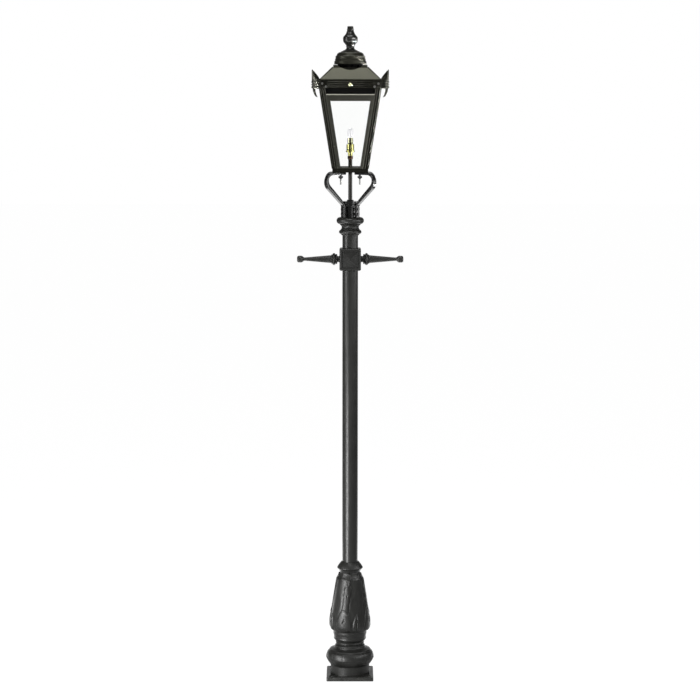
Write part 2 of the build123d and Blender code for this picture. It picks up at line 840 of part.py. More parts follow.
def fin(face, thickness):
    return extrude(Plane.XZ * face, amount=thickness / 2, both=True)


ear_block = fin(
    outline((root, z_block), (reach, z_block), (reach, z_block_top), (root, z_block_top)),
    ear_block_thickness,
)
ear_leaf = fin(
    outline(
        (leaf_root, z_eaves - ear_overlap),
        (reach, z_eaves - ear_overlap),
        (reach, z_tip),
        (leaf_root, z_eaves + ear_leaf_root_rise, -ear_leaf_hollow),
    ),
    ear_leaf_thickness,
)
ear_tail = fin(
    outline(
        (tail_root - ear_tail_lean, z_cornice - ear_tail_length),
        (tail_root - ear_tail_lean + ear_tail_tip, z_cornice - ear_tail_length),
        (tail_root + ear_tail_root / 2, z_cornice + ear_overlap, ear_tail_bow),
        (tail_root - ear_tail_root / 2, z_cornice + ear_overlap),
        (tail_root - ear_tail_lean, z_cornice - ear_tail_length, -ear_tail_bow),
    ),
    ear_tail_thickness,
)
ear = ear_wrap_strap + about(ear_block + ear_leaf + ear_tail, 45)
for place in ear_bolt_places:
    ear -= place * ear_bolt_hole
for corner, angle in corners.items():
    save(f"ear_{corner}", about(ear, angle))


# Roof shell: hollow truncated pyramid with a lip at the eaves and an arched kerb round the vent collar
z_slope_foot = z_eaves + roof_band_height
roof_inner_side = roof_eaves_side - 2 * roof_sheet
z_sheet = z_roof_top - roof_sheet
roof = prism(roof_eaves_side, z_eaves, z_slope_foot)
roof += frustum(roof_eaves_side, z_slope_foot, roof_top_side, z_roof_top)
roof -= prism(roof_inner_side, z_eaves, z_slope_foot)
roof -= frustum(roof_inner_side, z_slope_foot, roof_top_side - 2 * roof_sheet, z_sheet)
roof -= rod(collar_radius - collar_wall, z_sheet, z_roof_top)
z_kerb = z_roof_top + kerb_height
roof += square_ring(kerb_side, kerb_side - 2 * kerb_wall, z_roof_top, z_kerb)
arch_radius = (arch_half**2 + arch_depth**2) / (2 * arch_depth)
arch = spoke(arch_radius, arch_start, roof_eaves_side / 2, z_kerb - arch_depth + arch_radius)
for angle in sides.values():
    roof -= about(arch, angle)
save("roof_shell", roof)


# Vent collar, chimney dome and finial
spigot_radius = collar_radius - collar_wall - slip_clearance
collar_bore = spigot_radius - collar_wall
collar = pipe(collar_radius, collar_bore, z_roof_top, z_dome_ledge)
collar += pipe(spigot_radius, collar_bore, z_roof_top - collar_spigot_depth, z_roof_top)
z_vent = z_roof_top + (dome_lift - vent_height) / 2
vent = slab(
    (collar_bore - collar_wall, collar_radius + collar_wall),
    (-vent_width / 2, vent_width / 2),
    (z_vent, z_vent + vent_height),
)
for index in range(vent_count):
    collar -= about(vent, vent_turn + index * 360 / vent_count)
save("vent_collar", collar)

dome = turned(
    (0, z_rim),
    (dome_rim_radius, z_rim),
    (dome_rim_radius, z_rim + dome_rim_height, dome_rim_bow),
    (dome_shoulder_radius, z_dome_side, -dome_shoulder_hollow),
    (dome_side_radius, z_dome_side + dome_side_rise),
    (dome_crown_radius, z_dome_top - dome_cap_rise, dome_crown_bow),
    (finial_foot_radius, z_dome_top, -dome_cap_hollow),
    (0, z_dome_top),
)
dome -= rod(dome_rim_radius - dome_rim_wall, z_rim, z_dome_ledge)
dome -= rod(dome_inner_radius, z_dome_ledge, z_dome_ceiling)
dome -= rod(finial_rod_radius + thread_clearance, z_dome_ceiling, z_dome_top)
save("chimney_dome", dome)

z_neck = z_dome_top + finial_foot_height + finial_neck_rise
z_finial_cup = z_neck + finial_neck_length + finial_cup_rise
z_bulb = z_finial_cup + finial_bulb_rise
z_finial_shoulder = z_bulb + finial_shoulder_rise
z_finial_waist = z_finial_shoulder + finial_waist_rise
z_finial_top = z_finial_waist + finial_tip_rise
finial = turned(
    (0, z_dome_top),
    (finial_foot_radius, z_dome_top),
    (finial_foot_radius, z_dome_top + finial_foot_height),
    (finial_neck_radius, z_neck, -finial_foot_hollow),
    (finial_neck_radius, z_neck + finial_neck_length),
    (finial_cup_radius, z_finial_cup, -finial_cup_hollow),
    (finial_bulb_radius, z_bulb, finial_bulb_bow),
    (finial_shoulder_radius, z_finial_shoulder, finial_bulb_bow),
    (finial_waist_radius, z_finial_waist, -finial_waist_hollow),
    (finial_tip_radius, z_finial_top),
    (0, z_finial_top),
)
finial += rod(finial_rod_radius, z_dome_top - finial_rod_length, z_dome_top)
save("finial", finial)
z_nut = z_dome_ceiling - finial_nut_height
nut_bore = finial_rod_radius + thread_clearance
save("finial_nut", hexagon(finial_nut_radius, z_nut, z_dome_ceiling) - rod(nut_bore, z_nut, z_dome_ceiling))


# Hinge: knuckles alternate between the body's leaf and the roof's leaf, along X
knuckle_pitch = hinge_length / knuckle_count
body_leaf_y = upstand_side / 2
hinge_x = (-hinge_length / 2, hinge_length / 2)
z_body_leaf = z_upstand_top - hinge_body_leaf_height - hinge_web
body_leaf = slab(hinge_x, (body_leaf_y, body_leaf_y + hinge_leaf), (z_body_leaf, z_upstand_top - hinge_web))
z_roof_leaf = hinge_z + knuckle_radius + 2 * hinge_back_clearance
roof_leaf = slab(
    hinge_x,
    (cornice_half, cornice_half + hinge_leaf),
    (z_roof_leaf, z_roof_leaf + hinge_roof_leaf_height),
)


def barrel(radius, x):
    return Pos(x[0], hinge_y, hinge_z) * Rot(0, 90, 0) * Cylinder(radius, x[1] - x[0], align=level)


for index in range(knuckle_count):
    start = hinge_x[0] + index * knuckle_pitch + hinge_side_clearance / 2
    span = (start, start + knuckle_pitch - hinge_side_clearance)
    if index % 2 == 0:
        z_web = z_upstand_top - hinge_web - hinge_leaf
        body_leaf += slab(span, (body_leaf_y, hinge_y), (z_web, z_upstand_top - hinge_leaf))
        body_leaf += barrel(knuckle_radius, span)
    else:
        web_start = cornice_half + hinge_back_clearance
        roof_leaf += slab(span, (web_start, hinge_y), (hinge_z, z_roof_leaf))
        web_y = (web_start, cornice_half + hinge_leaf)
        roof_leaf += slab(span, web_y, (z_roof_leaf - hinge_web, z_roof_leaf))
        roof_leaf += barrel(knuckle_radius, span)
body_leaf -= barrel(hinge_pin_radius, hinge_x)
roof_leaf -= barrel(hinge_pin_radius + running_clearance, hinge_x)
save("hinge_body_leaf", body_leaf)
save("hinge_roof_leaf", roof_leaf)
save("hinge_pin", barrel(hinge_pin_radius, hinge_x))


# Roof screw: knurled knob, collar and shank, turning in the cornice's front
knob_start = cornice_half + screw_knob_gap
knob_foot = knob_start + screw_collar_length
knob_end = knob_foot + screw_knob_length
screw_end = -keeper_y - keeper_thickness - screw_tip
screw = turned(
    (0, screw_end),
    (screw_radius, screw_end),
    (screw_radius, knob_start),
    (screw_collar_radius, knob_start),
    (screw_collar_radius, knob_foot),
    (screw_knob_radius, knob_foot),
    (screw_knob_radius, knob_end - screw_knob_round),
    (screw_knob_radius - screw_knob_round, knob_end, screw_knob_bow),
    (0, knob_end),
)
save("roof_screw", Pos(0, 0, z_screw) * Rot(90, 0, 0) * screw)


# Lamp tube with a lock nut above and below the frog ring, and the copper ring under the holder
z_tube_nut = z_stem_top - lock_nut_height
nut_hole = lamp_tube_radius + thread_clearance
lamp_tube_bore = lamp_tube_radius - lamp_tube_wall
save("lamp_tube", pipe(lamp_tube_radius, lamp_tube_bore, z_tube_nut, z_holder))
lock_nuts = []
for foot in (z_tube_nut, z_ring_top):
    nut = hexagon(lock_nut_radius, foot, foot + lock_nut_height)
    lock_nuts.append(nut - rod(nut_hole, foot, foot + lock_nut_height))
group("tube_lock_nuts", lock_nuts)
z_copper = z_holder - copper_ring_drop - copper_ring_height
save("copper_ring", pipe(copper_ring_radius, nut_hole, z_copper, z_copper + copper_ring_height))


# Lampholder
holder = rod(holder_neck_radius, z_holder, z_cup) + rod(holder_radius, z_cup, z_cup_top)
core_radius = holder_radius - holder_wall
holder -= rod(core_radius, z_core, z_cup_top)
holder -= rod(lamp_tube_bore, z_holder, z_core)
save("lampholder_body", holder)
z_shade = z_cup + shade_ring_rise
shade_bore = holder_radius + thread_clearance
save("lampholder_ring", pipe(shade_ring_radius, shade_bore, z_shade, z_shade + shade_ring_height))
core = rod(core_radius - thread_clearance, z_core, z_core + core_height)
core -= rod(lamp_cap_radius + lamp_cap_clearance, z_contact, z_core + core_height)
core -= rod(wire_hole_radius, z_core, z_contact)
save("lampholder_core", core)
save("lampholder_contact", pipe(contact_radius, wire_hole_radius / 2, z_contact, z_contact + contact_height))


# Screw-in lamp
cap = turned(
    (0, z_lamp_cap),
    (contact_radius, z_lamp_cap),
    (lamp_cap_radius, z_lamp_cap + contact_height),
    (lamp_cap_radius, z_lamp_collar),
    (0, z_lamp_collar),
)
save("lamp_cap", cap)
z_collar_foot = max(z_lamp_collar, z_cup_top + lamp_collar_gap)
collar_neck = lamp_cap_radius - lamp_cap_clearance
lamp_collar = turned(
    (0, z_lamp_collar),
    (collar_neck, z_lamp_collar),
    (collar_neck, z_collar_foot),
    (lamp_collar_radius, z_collar_foot),
    (lamp_collar_radius, z_lamp_glass),
    (0, z_lamp_glass),
)
save("lamp_collar", lamp_collar)


def bulb(radius, foot, head):
    return rod(radius, foot, head - radius) + Pos(0, 0, head - radius) * Sphere(radius)


z_glass_top = z_lamp_glass + lamp_glass_height
glass_bore = lamp_glass_radius - lamp_glass_wall
glass = bulb(lamp_glass_radius, z_lamp_glass, z_glass_top)
glass &= prism(2 * lamp_glass_radius, z_lamp_glass, z_glass_top)
hollow = bulb(glass_bore, z_lamp_glass, z_glass_top - lamp_glass_wall)
hollow &= prism(2 * lamp_glass_radius, z_lamp_glass, z_glass_top)
save("lamp_glass", glass - hollow)
save("lamp_filament", rod(filament_radius, z_lamp_glass, z_lamp_glass + filament_height))
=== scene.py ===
import bpy
import bmesh
import json
from math import atan2, cos, hypot, pi, radians, sin, sqrt
from mathutils import Matrix, Vector


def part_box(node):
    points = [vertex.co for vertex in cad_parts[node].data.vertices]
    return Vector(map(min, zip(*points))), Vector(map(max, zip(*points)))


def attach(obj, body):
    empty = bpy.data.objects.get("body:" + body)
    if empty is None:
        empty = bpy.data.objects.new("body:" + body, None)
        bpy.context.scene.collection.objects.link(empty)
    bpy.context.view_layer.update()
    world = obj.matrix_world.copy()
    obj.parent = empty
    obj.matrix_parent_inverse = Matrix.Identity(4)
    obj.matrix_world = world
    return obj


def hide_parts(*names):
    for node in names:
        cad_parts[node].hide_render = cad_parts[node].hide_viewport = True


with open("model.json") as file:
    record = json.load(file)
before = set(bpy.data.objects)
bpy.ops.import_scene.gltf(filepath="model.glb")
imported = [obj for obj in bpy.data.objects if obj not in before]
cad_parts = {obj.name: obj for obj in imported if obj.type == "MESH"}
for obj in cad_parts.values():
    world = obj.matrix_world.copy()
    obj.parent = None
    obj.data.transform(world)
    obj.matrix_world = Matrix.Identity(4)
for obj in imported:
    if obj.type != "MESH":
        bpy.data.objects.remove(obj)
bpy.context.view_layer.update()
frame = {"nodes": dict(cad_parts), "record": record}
nodes = frame["nodes"]
mm = 0.001
scene = bpy.context.scene
print("frame loaded,", len(nodes), "nodes")


# Camera, at the photograph's viewing angle
cameraSet = {
    "place": (0.0, -12.3, 3.3), "pitch": -6.47, "roll": 0.04,
    "lens": 111.3, "sensor": 36, "shiftX": -0.0002, "far": 200,
}

camera = bpy.data.objects.new("camera", bpy.data.cameras.new("camera"))
scene.collection.objects.link(camera)
camera.location = cameraSet["place"]
camera.rotation_euler = (
    Matrix.Rotation(radians(90 + cameraSet["pitch"]), 4, "X")
    @ Matrix.Rotation(radians(cameraSet["roll"]), 4, "Z")
).to_euler()
camera.data.lens = cameraSet["lens"]
camera.data.sensor_width = cameraSet["sensor"]
camera.data.shift_x = cameraSet["shiftX"]
camera.data.clip_end = cameraSet["far"]
scene.camera = camera


# Studio: white for the camera, mostly dark for reflections, with soft boxes that shape the highlights
studioSet = {
    "worldLight": 0.07,
    "roomShade": 0.06,  # what reflections see of the room
    "backSide": (0.8, 0.97),  # how far back a reflection looks where the room turns white
    "floorHalf": 60,
    "floorTone": 0.5,
    "floorRough": 0.9,
    "floorShade": 0.85,  # share of plain white in what the camera sees of the floor
    "floorGlow": 1.16,
    "floorGloss": 0.16,  # share of that white in reflections
    "litPatches": (  # brighter floor that only reflections see
        {"place": (0, 2.1, 0), "reach": (2.6, 1.6, 1), "glow": 3.2},
        {"place": (1.9, -9.6, 0), "reach": (2.3, 3.0, 1), "glow": 2.6},
    ),
    "patchEdge": (0.6, 1.2),  # shares of the reach between which a patch fades
}
softBoxes = {
    "leftHigh": {"place": (-5.2, -2.5, 2.9), "aim": (0, 0, 2.6), "size": (1.5, 2.6), "power": 140},
    "leftLow": {"place": (-2.1, -2.25, 0.52), "aim": (0, 0, 0.52), "size": (1.0, 1.04), "power": 90},
    "rightHigh": {"place": (2.9, -3.6, 3.5), "aim": (0, 0, 3.3), "size": (1.5, 2.0), "power": 55},
    "rightMid": {"place": (4.2, -1.5, 3.42), "aim": (0, 0, 3.35), "size": (2.4, 1.8), "power": 62},
    "rightSide": {"place": (4.4, 0.1, 2.62), "aim": (0, 0, 3.0), "size": (2.2, 0.8), "power": 22},
    "top": {"place": (0.0, 0.9, 6.4), "aim": (0, 0, 3.4), "size": (1.6, 1.6), "power": 55},
    "topFront": {"place": (-0.4, -2.4, 6.6), "aim": (0, 0, 3.2), "size": (2.4, 0.8), "power": 75},
    "lowRight": {"place": (3.4, 0.2, 1.6), "aim": (0, 0, 3.72), "size": (0.9, 0.9), "power": 16, "spread": 16},
    "front": {"place": (-2.5, -8.0, 4.5), "aim": (0, 0, 1.2), "size": (2.0, 2.0), "power": 14},
}


def feed(tree, value, socket):
    # a socket is linked, a plain value is set
    if hasattr(value, "links"):
        tree.links.new(value, socket)
    else:
        socket.default_value = value


def mathNode(tree, operation, *values, kind="ShaderNodeMath", output="Value"):
    made = tree.nodes.new(kind)
    made.operation = operation
    for socket, value in zip(made.inputs, values):
        feed(tree, value, socket)
    return made.outputs[output]


def rangeNode(tree, source, low, high, lowValue=0.0, highValue=1.0, easing="LINEAR"):
    spread = tree.nodes.new("ShaderNodeMapRange")
    spread.interpolation_type = easing
    for name, value in (("From Min", low), ("From Max", high), ("To Min", lowValue), ("To Max", highValue)):
        spread.inputs[name].default_value = value
    tree.links.new(source, spread.inputs["Value"])
    return spread.outputs["Result"]


def mixedShader(tree, share, first, second):
    mix = tree.nodes.new("ShaderNodeMixShader")
    for socket, source in zip(mix.inputs, (share, first, second)):
        tree.links.new(source, socket)
    return mix.outputs[0]


def seenDirectly(tree, glossShare):
    # the camera sees the plain background, through glass too, and reflections see a share of it
    path = tree.nodes.new("ShaderNodeLightPath").outputs
    gloss = mathNode(tree, "MULTIPLY", path["Is Glossy Ray"], glossShare)
    bounces = mathNode(tree, "ADD", path["Glossy Depth"], path["Diffuse Depth"])
    straight = mathNode(tree, "LESS_THAN", bounces, 0.5)  # no bounce before the glass
    through = mathNode(tree, "MULTIPLY", straight, path["Is Transmission Ray"])
    return mathNode(tree, "MAXIMUM", mathNode(tree, "MAXIMUM", path["Is Camera Ray"], gloss), through)


def buildWorld():
    world = bpy.data.worlds.new("studio")
    world.use_nodes = True
    scene.world = world
    tree = world.node_tree
    back = tree.nodes["Background"]
    back.inputs["Color"].default_value = (1, 1, 1, 1)
    back.inputs["Strength"].default_value = studioSet["worldLight"]
    plain = tree.nodes.new("ShaderNodeBackground")
    plain.inputs["Color"].default_value = (1, 1, 1, 1)
    sides = tree.nodes.new("ShaderNodeSeparateXYZ")  # the way a ray looks
    tree.links.new(tree.nodes.new("ShaderNodeTexCoord").outputs["Generated"], sides.inputs["Vector"])
    level = rangeNode(tree, sides.outputs["Y"], *studioSet["backSide"], studioSet["roomShade"])
    tree.links.new(mathNode(tree, "MAXIMUM", level, seenDirectly(tree, 0.0)), plain.inputs["Strength"])
    mix = mixedShader(tree, seenDirectly(tree, 1.0), back.outputs[0], plain.outputs[0])
    tree.links.new(mix, tree.nodes["World Output"].inputs["Surface"])


def patchGlow(tree, patch):
    vectorMath = "ShaderNodeVectorMath"
    spot = tree.nodes.new("ShaderNodeNewGeometry").outputs["Position"]
    away = mathNode(tree, "SUBTRACT", spot, patch["place"], kind=vectorMath, output="Vector")
    scaled = mathNode(tree, "DIVIDE", away, patch["reach"], kind=vectorMath, output="Vector")
    distance = mathNode(tree, "LENGTH", scaled, kind=vectorMath)
    level = rangeNode(tree, distance, *studioSet["patchEdge"], patch["glow"], 0.0, "SMOOTHSTEP")
    seen = tree.nodes.new("ShaderNodeLightPath").outputs["Is Glossy Ray"]
    glow = tree.nodes.new("ShaderNodeEmission")
    tree.links.new(mathNode(tree, "MULTIPLY", level, seen), glow.inputs["Strength"])
    return glow.outputs[0]


def buildFloor():
    mat = bpy.data.materials.new("paleFloor")
    mat.use_nodes = True
    tree = mat.node_tree
    matte = tree.nodes["Principled BSDF"]
    matte.inputs["Base Color"].default_value = (*[studioSet["floorTone"]] * 3, 1)
    matte.inputs["Roughness"].default_value = studioSet["floorRough"]
    glow = tree.nodes.new("ShaderNodeEmission")
    glow.inputs["Color"].default_value = (1, 1, 1, 1)
    glow.inputs["Strength"].default_value = studioSet["floorGlow"]
    share = mathNode(tree, "MULTIPLY", seenDirectly(tree, studioSet["floorGloss"]), studioSet["floorShade"])
    shader = mixedShader(tree, share, matte.outputs[0], glow.outputs[0])
    for patch in studioSet["litPatches"]:
        both = tree.nodes.new("ShaderNodeAddShader")
        tree.links.new(shader, both.inputs[0])
        tree.links.new(patchGlow(tree, patch), both.inputs[1])
        shader = both.outputs[0]
    tree.links.new(shader, tree.nodes["Material Output"].inputs["Surface"])
    bm = bmesh.new()
    bmesh.ops.create_grid(bm, x_segments=1, y_segments=1, size=studioSet["floorHalf"])
    mesh = bpy.data.meshes.new("floor")
    bm.to_mesh(mesh)
    bm.free()
    mesh.materials.append(mat)
    floor = bpy.data.objects.new("floor", mesh)
    scene.collection.objects.link(floor)


def softBox(name, box):
    light = bpy.data.lights.new(name, "AREA")
    light.shape = "RECTANGLE"
    light.size, light.size_y = box["size"]
    light.energy = box["power"]
    light.spread = radians(box.get("spread", 180))
    lamp = bpy.data.objects.new(name, light)
    scene.collection.objects.link(lamp)
    lamp.location = box["place"]
    lamp.rotation_euler = (Vector(box["aim"]) - Vector(box["place"])).to_track_quat("-Z", "Y").to_euler()


buildWorld()
buildFloor()
for boxName, boxSet in softBoxes.items():
    softBox(boxName, boxSet)
scene.view_settings.view_transform = "Standard"
print("studio ready")


# Materials
class Finish:
    def __init__(self, name):
        self.mat = bpy.data.materials.new(name)
        self.mat.use_nodes = True
        self.tree = self.mat.node_tree
        self.shader = self.tree.nodes["Principled BSDF"]
        self.coords = self.tree.nodes.new("ShaderNodeTexCoord").outputs["Object"]

    def node(self, kind):
        return self.tree.nodes.new(kind)

    def link(self, source, target):
        self.tree.links.new(source, target)

    def stretch(self, scale):
        mapping = self.node("ShaderNodeMapping")
        mapping.inputs["Scale"].default_value = scale
        self.link(self.coords, mapping.inputs["Vector"])
        return mapping.outputs["Vector"]

    def noise(self, scale, detail=4, rough=0.55, coords=None):
        cloud = self.node("ShaderNodeTexNoise")
        cloud.inputs["Scale"].default_value = scale
        cloud.inputs["Detail"].default_value = detail
        cloud.inputs["Roughness"].default_value = rough
        self.link(coords or self.coords, cloud.inputs["Vector"])
        return cloud.outputs["Fac"]

    def ramp(self, source, low, high, lowValue=0.0, highValue=1.0):
        return rangeNode(self.tree, source, low, high, lowValue, highValue)

    def tones(self, source, under, light):
        # from one tone, a colour or what is made so far, to a lighter one
        mix = self.node("ShaderNodeMix")
        mix.data_type = "RGBA"
        feed(self.tree, under if hasattr(under, "links") else (*under, 1), mix.inputs["A"])
        mix.inputs["B"].default_value = (*light, 1)
        self.link(source, mix.inputs["Factor"])
        return mix.outputs["Result"]

    def bump(self, height, strength, distance, below=None):
        relief = self.node("ShaderNodeBump")
        relief.inputs["Strength"].default_value = strength
        relief.inputs["Distance"].default_value = distance
        self.link(height, relief.inputs["Height"])
        if below:
            self.link(below, relief.inputs["Normal"])
        return relief.outputs["Normal"]

    def put(self, socket, value):
        feed(self.tree, value, self.shader.inputs[socket])


paintSet = {
    "cloudDetail": 5, "cloudRough": 0.6, "spread": (0.3, 0.7), "wearScale": 38, "wearSpread": (0.35, 0.65),
    "broadDetail": 3, "broadDepth": 0.002, "grainDetail": 6, "grainRough": 0.65, "grainDepth": 0.0008,
}
metalSet = {
    "cloudSpread": (0.35, 0.65), "streakScale": 90, "streakDetail": 4, "streakRough": 0.6,
    "streakSpread": (0.3, 0.7), "shinier": 0.05, "duller": 0.07, "depth": 0.0003,
}


def painted(name, look):
    # brushed-on or sprayed paint: uneven tone, uneven gloss, grain and a lighter rub on the edges
    p = paintSet
    finish = Finish(name)
    cloud = finish.noise(look["cloudScale"], p["cloudDetail"], p["cloudRough"])
    tone = finish.tones(finish.ramp(cloud, *p["spread"]), look["dark"], look["light"])
    if look.get("wear"):
        edge = finish.node("ShaderNodeNewGeometry").outputs["Pointiness"]
        worn = finish.ramp(edge, look["wearFrom"], look["wearTo"])
        patchy = finish.ramp(finish.noise(p["wearScale"]), *p["wearSpread"], 0, look["wear"])
        tone = finish.tones(mathNode(finish.tree, "MULTIPLY", worn, patchy), tone, look["wearTone"])
    finish.put("Base Color", tone)
    glossy, dull = look["rough"] - look["roughSpread"], look["rough"] + look["roughSpread"]
    finish.put("Roughness", finish.ramp(finish.noise(look["glossScale"]), *p["spread"], glossy, dull))
    finish.put("Specular IOR Level", look["specular"])
    if look.get("tint"):
        finish.put("Specular Tint", (*look["tint"], 1))
    if look.get("clear"):
        finish.put("Transmission Weight", look["clear"])
        finish.put("Emission Strength", look["glow"])
    if look.get("coat"):
        finish.put("Coat Weight", look["coat"])
        finish.put("Coat Roughness", look["coatRough"])
    broad = finish.bump(finish.noise(look["broadScale"], p["broadDetail"]), look["broadBump"], p["broadDepth"])
    grain = finish.noise(look["grainScale"], p["grainDetail"], p["grainRough"])
    finish.put("Normal", finish.bump(grain, look["grainBump"], p["grainDepth"], broad))
    return finish.mat


def metal(name, look):
    m = metalSet
    finish = Finish(name)
    cloud = finish.ramp(finish.noise(look["cloudScale"]), *m["cloudSpread"])
    finish.put("Base Color", finish.tones(cloud, look["dark"], look["light"]))
    finish.put("Metallic", 1.0)
    along = finish.stretch(look["stretch"])
    streak = finish.noise(m["streakScale"], m["streakDetail"], m["streakRough"], along)
    glossy, dull = look["rough"] - m["shinier"], look["rough"] + m["duller"]
    finish.put("Roughness", finish.ramp(streak, *m["streakSpread"], glossy, dull))
    finish.put("Normal", finish.bump(streak, look["bump"], m["depth"]))
    return finish.mat


def clearGlass(name, look):
    finish = Finish(name)
    smear = finish.noise(look["smearScale"], look["smearDetail"], look["smearRough"])
    finish.put("Base Color", finish.tones(smear, look["dark"], look["light"]))
    haze = finish.noise(look["hazeScale"], look["hazeDetail"])
    finish.put("Roughness", finish.ramp(haze, *look["hazeSpread"], 0.0, look["rough"]))
    finish.put("Transmission Weight", 1.0)
    finish.put("IOR", look["ior"])
    wave = finish.noise(look["waveScale"], look["waveDetail"])
    finish.put("Normal", finish.bump(wave, look["waveBump"], look["waveDepth"]))
    return finish.mat


castLook = {
    "dark": (0.009, 0.0092, 0.0081), "light": (0.014, 0.0143, 0.0127), "cloudScale": 9,
    "rough": 0.42, "roughSpread": 0.05, "glossScale": 26, "specular": 0.5,
    "broadScale": 30, "broadBump": 0.06, "grainScale": 420, "grainBump": 0.14,
    "wear": 0.5, "wearFrom": 0.52, "wearTo": 0.6, "wearTone": (0.085, 0.085, 0.08),
}
columnLook = {
    "dark": (0.012, 0.0123, 0.0112), "light": (0.018, 0.0183, 0.0168), "cloudScale": 5,
    "rough": 0.36, "roughSpread": 0.05, "glossScale": 18, "specular": 0.45,
    "broadScale": 16, "broadBump": 0.05, "grainScale": 600, "grainBump": 0.1,
}
frogLook = {
    "dark": (0.006, 0.006, 0.006), "light": (0.011, 0.011, 0.011), "cloudScale": 14,
    "rough": 0.21, "roughSpread": 0.04, "glossScale": 30, "specular": 0.5, "coat": 0.2, "coatRough": 0.16,
    "broadScale": 45, "broadBump": 0.06, "grainScale": 500, "grainBump": 0.03,
}
lanternLook = {
    "dark": (0.004, 0.004, 0.003), "light": (0.008, 0.008, 0.006), "cloudScale": 12,
    "rough": 0.2, "roughSpread": 0.05, "glossScale": 34, "specular": 0.5, "tint": (1, 1, 0.84),
    "broadScale": 40, "broadBump": 0.05, "grainScale": 520, "grainBump": 0.06,
}
# the roof's black paint is given a much lighter tone than the body's: painted light, standing in for the
# overhead light its slopes reflect
roofPaintedLightLook = {
    "dark": (0.026, 0.026, 0.021), "light": (0.036, 0.036, 0.029), "cloudScale": 7,
    "rough": 0.31, "roughSpread": 0.025, "glossScale": 22, "specular": 0.29, "tint": (1, 1, 0.62),
    "broadScale": 18, "broadBump": 0.03, "grainScale": 520, "grainBump": 0.03,
}
domeLook = {
    "dark": (0.007, 0.007, 0.005), "light": (0.011, 0.011, 0.008), "cloudScale": 12,
    "rough": 0.4, "roughSpread": 0.05, "glossScale": 30, "specular": 0.36, "tint": (1, 1, 0.8),
    "broadScale": 40, "broadBump": 0.06, "grainScale": 480, "grainBump": 0.06,
}
finialLook = {
    "dark": (0.008, 0.008, 0.007), "light": (0.014, 0.014, 0.012), "cloudScale": 16,
    "rough": 0.22, "roughSpread": 0.04, "glossScale": 34, "specular": 0.5,
    "broadScale": 50, "broadBump": 0.08, "grainScale": 460, "grainBump": 0.05,
}
# near-black matte paint: painted shade, standing in for the shadow in the vent gap under the dome and in the
# recess under the cornice
paintedShadeLook = {
    "dark": (0.002, 0.002, 0.002), "light": (0.004, 0.004, 0.004), "cloudScale": 22,
    "rough": 0.7, "roughSpread": 0.05, "glossScale": 40, "specular": 0.1,
    "broadScale": 60, "broadBump": 0.05, "grainScale": 500, "grainBump": 0.1,
}
tubeLook = {
    "dark": (0.014, 0.012, 0.009), "light": (0.024, 0.021, 0.016), "cloudScale": 22,
    "rough": 0.23, "roughSpread": 0.03, "glossScale": 40, "specular": 0.36,
    "broadScale": 60, "broadBump": 0.01, "grainScale": 500, "grainBump": 0.02,
}
whiteLook = {
    "dark": (0.74, 0.72, 0.67), "light": (0.82, 0.8, 0.75), "cloudScale": 30,
    "rough": 0.3, "roughSpread": 0.05, "glossScale": 50, "specular": 0.5,
    "broadScale": 60, "broadBump": 0.04, "grainScale": 500, "grainBump": 0.03,
}
frostLook = {
    "dark": (0.86, 0.86, 0.88), "light": (0.95, 0.95, 0.97), "cloudScale": 30,
    "rough": 0.3, "roughSpread": 0.05, "glossScale": 50, "specular": 0.5, "clear": 0.35, "glow": 0.24,
    "broadScale": 60, "broadBump": 0.02, "grainScale": 500, "grainBump": 0.02,
}
brassLook = {"dark": (0.34, 0.32, 0.1), "light": (0.6, 0.58, 0.25), "cloudScale": 40, "rough": 0.2,
             "stretch": (1, 1, 6), "bump": 0.08}
collarLook = {"dark": (0.24, 0.24, 0.15), "light": (0.42, 0.42, 0.29), "cloudScale": 40, "rough": 0.2,
              "stretch": (1, 1, 6), "bump": 0.08}
# a much paler copy of the brass for the roof screw's knob: painted highlight, standing in for the bright glint
# on its face
litScrewBrassLook = {"dark": (0.62, 0.62, 0.38), "light": (0.88, 0.89, 0.62), "cloudScale": 40, "rough": 0.2,
             "stretch": (1, 1, 6), "bump": 0.05}
copperLook = {"dark": (0.06, 0.034, 0.02), "light": (0.11, 0.064, 0.04), "cloudScale": 40, "rough": 0.36,
              "stretch": (1, 1, 5), "bump": 0.08}
nickelLook = {"dark": (0.52, 0.52, 0.48), "light": (0.7, 0.7, 0.66), "cloudScale": 40, "rough": 0.16,
              "stretch": (1, 1, 6), "bump": 0.05}
boltLook = {"dark": (0.26, 0.26, 0.25), "light": (0.42, 0.42, 0.4), "cloudScale": 60, "rough": 0.34,
            "stretch": (4, 4, 1), "bump": 0.1}
darkSteelLook = {"dark": (0.05, 0.05, 0.05), "light": (0.09, 0.09, 0.09), "cloudScale": 60, "rough": 0.42,
                 "stretch": (4, 4, 1), "bump": 0.1}
paneLook = {
    "dark": (0.97, 0.98, 0.97), "light": (1, 1, 1), "smearScale": 6, "smearDetail": 4, "smearRough": 0.6,
    "rough": 0.04, "hazeScale": 14, "hazeDetail": 5, "hazeSpread": (0.35, 0.75), "ior": 1.05,
    "waveScale": 9, "waveDetail": 2, "waveBump": 0.04, "waveDepth": 0.001,
}

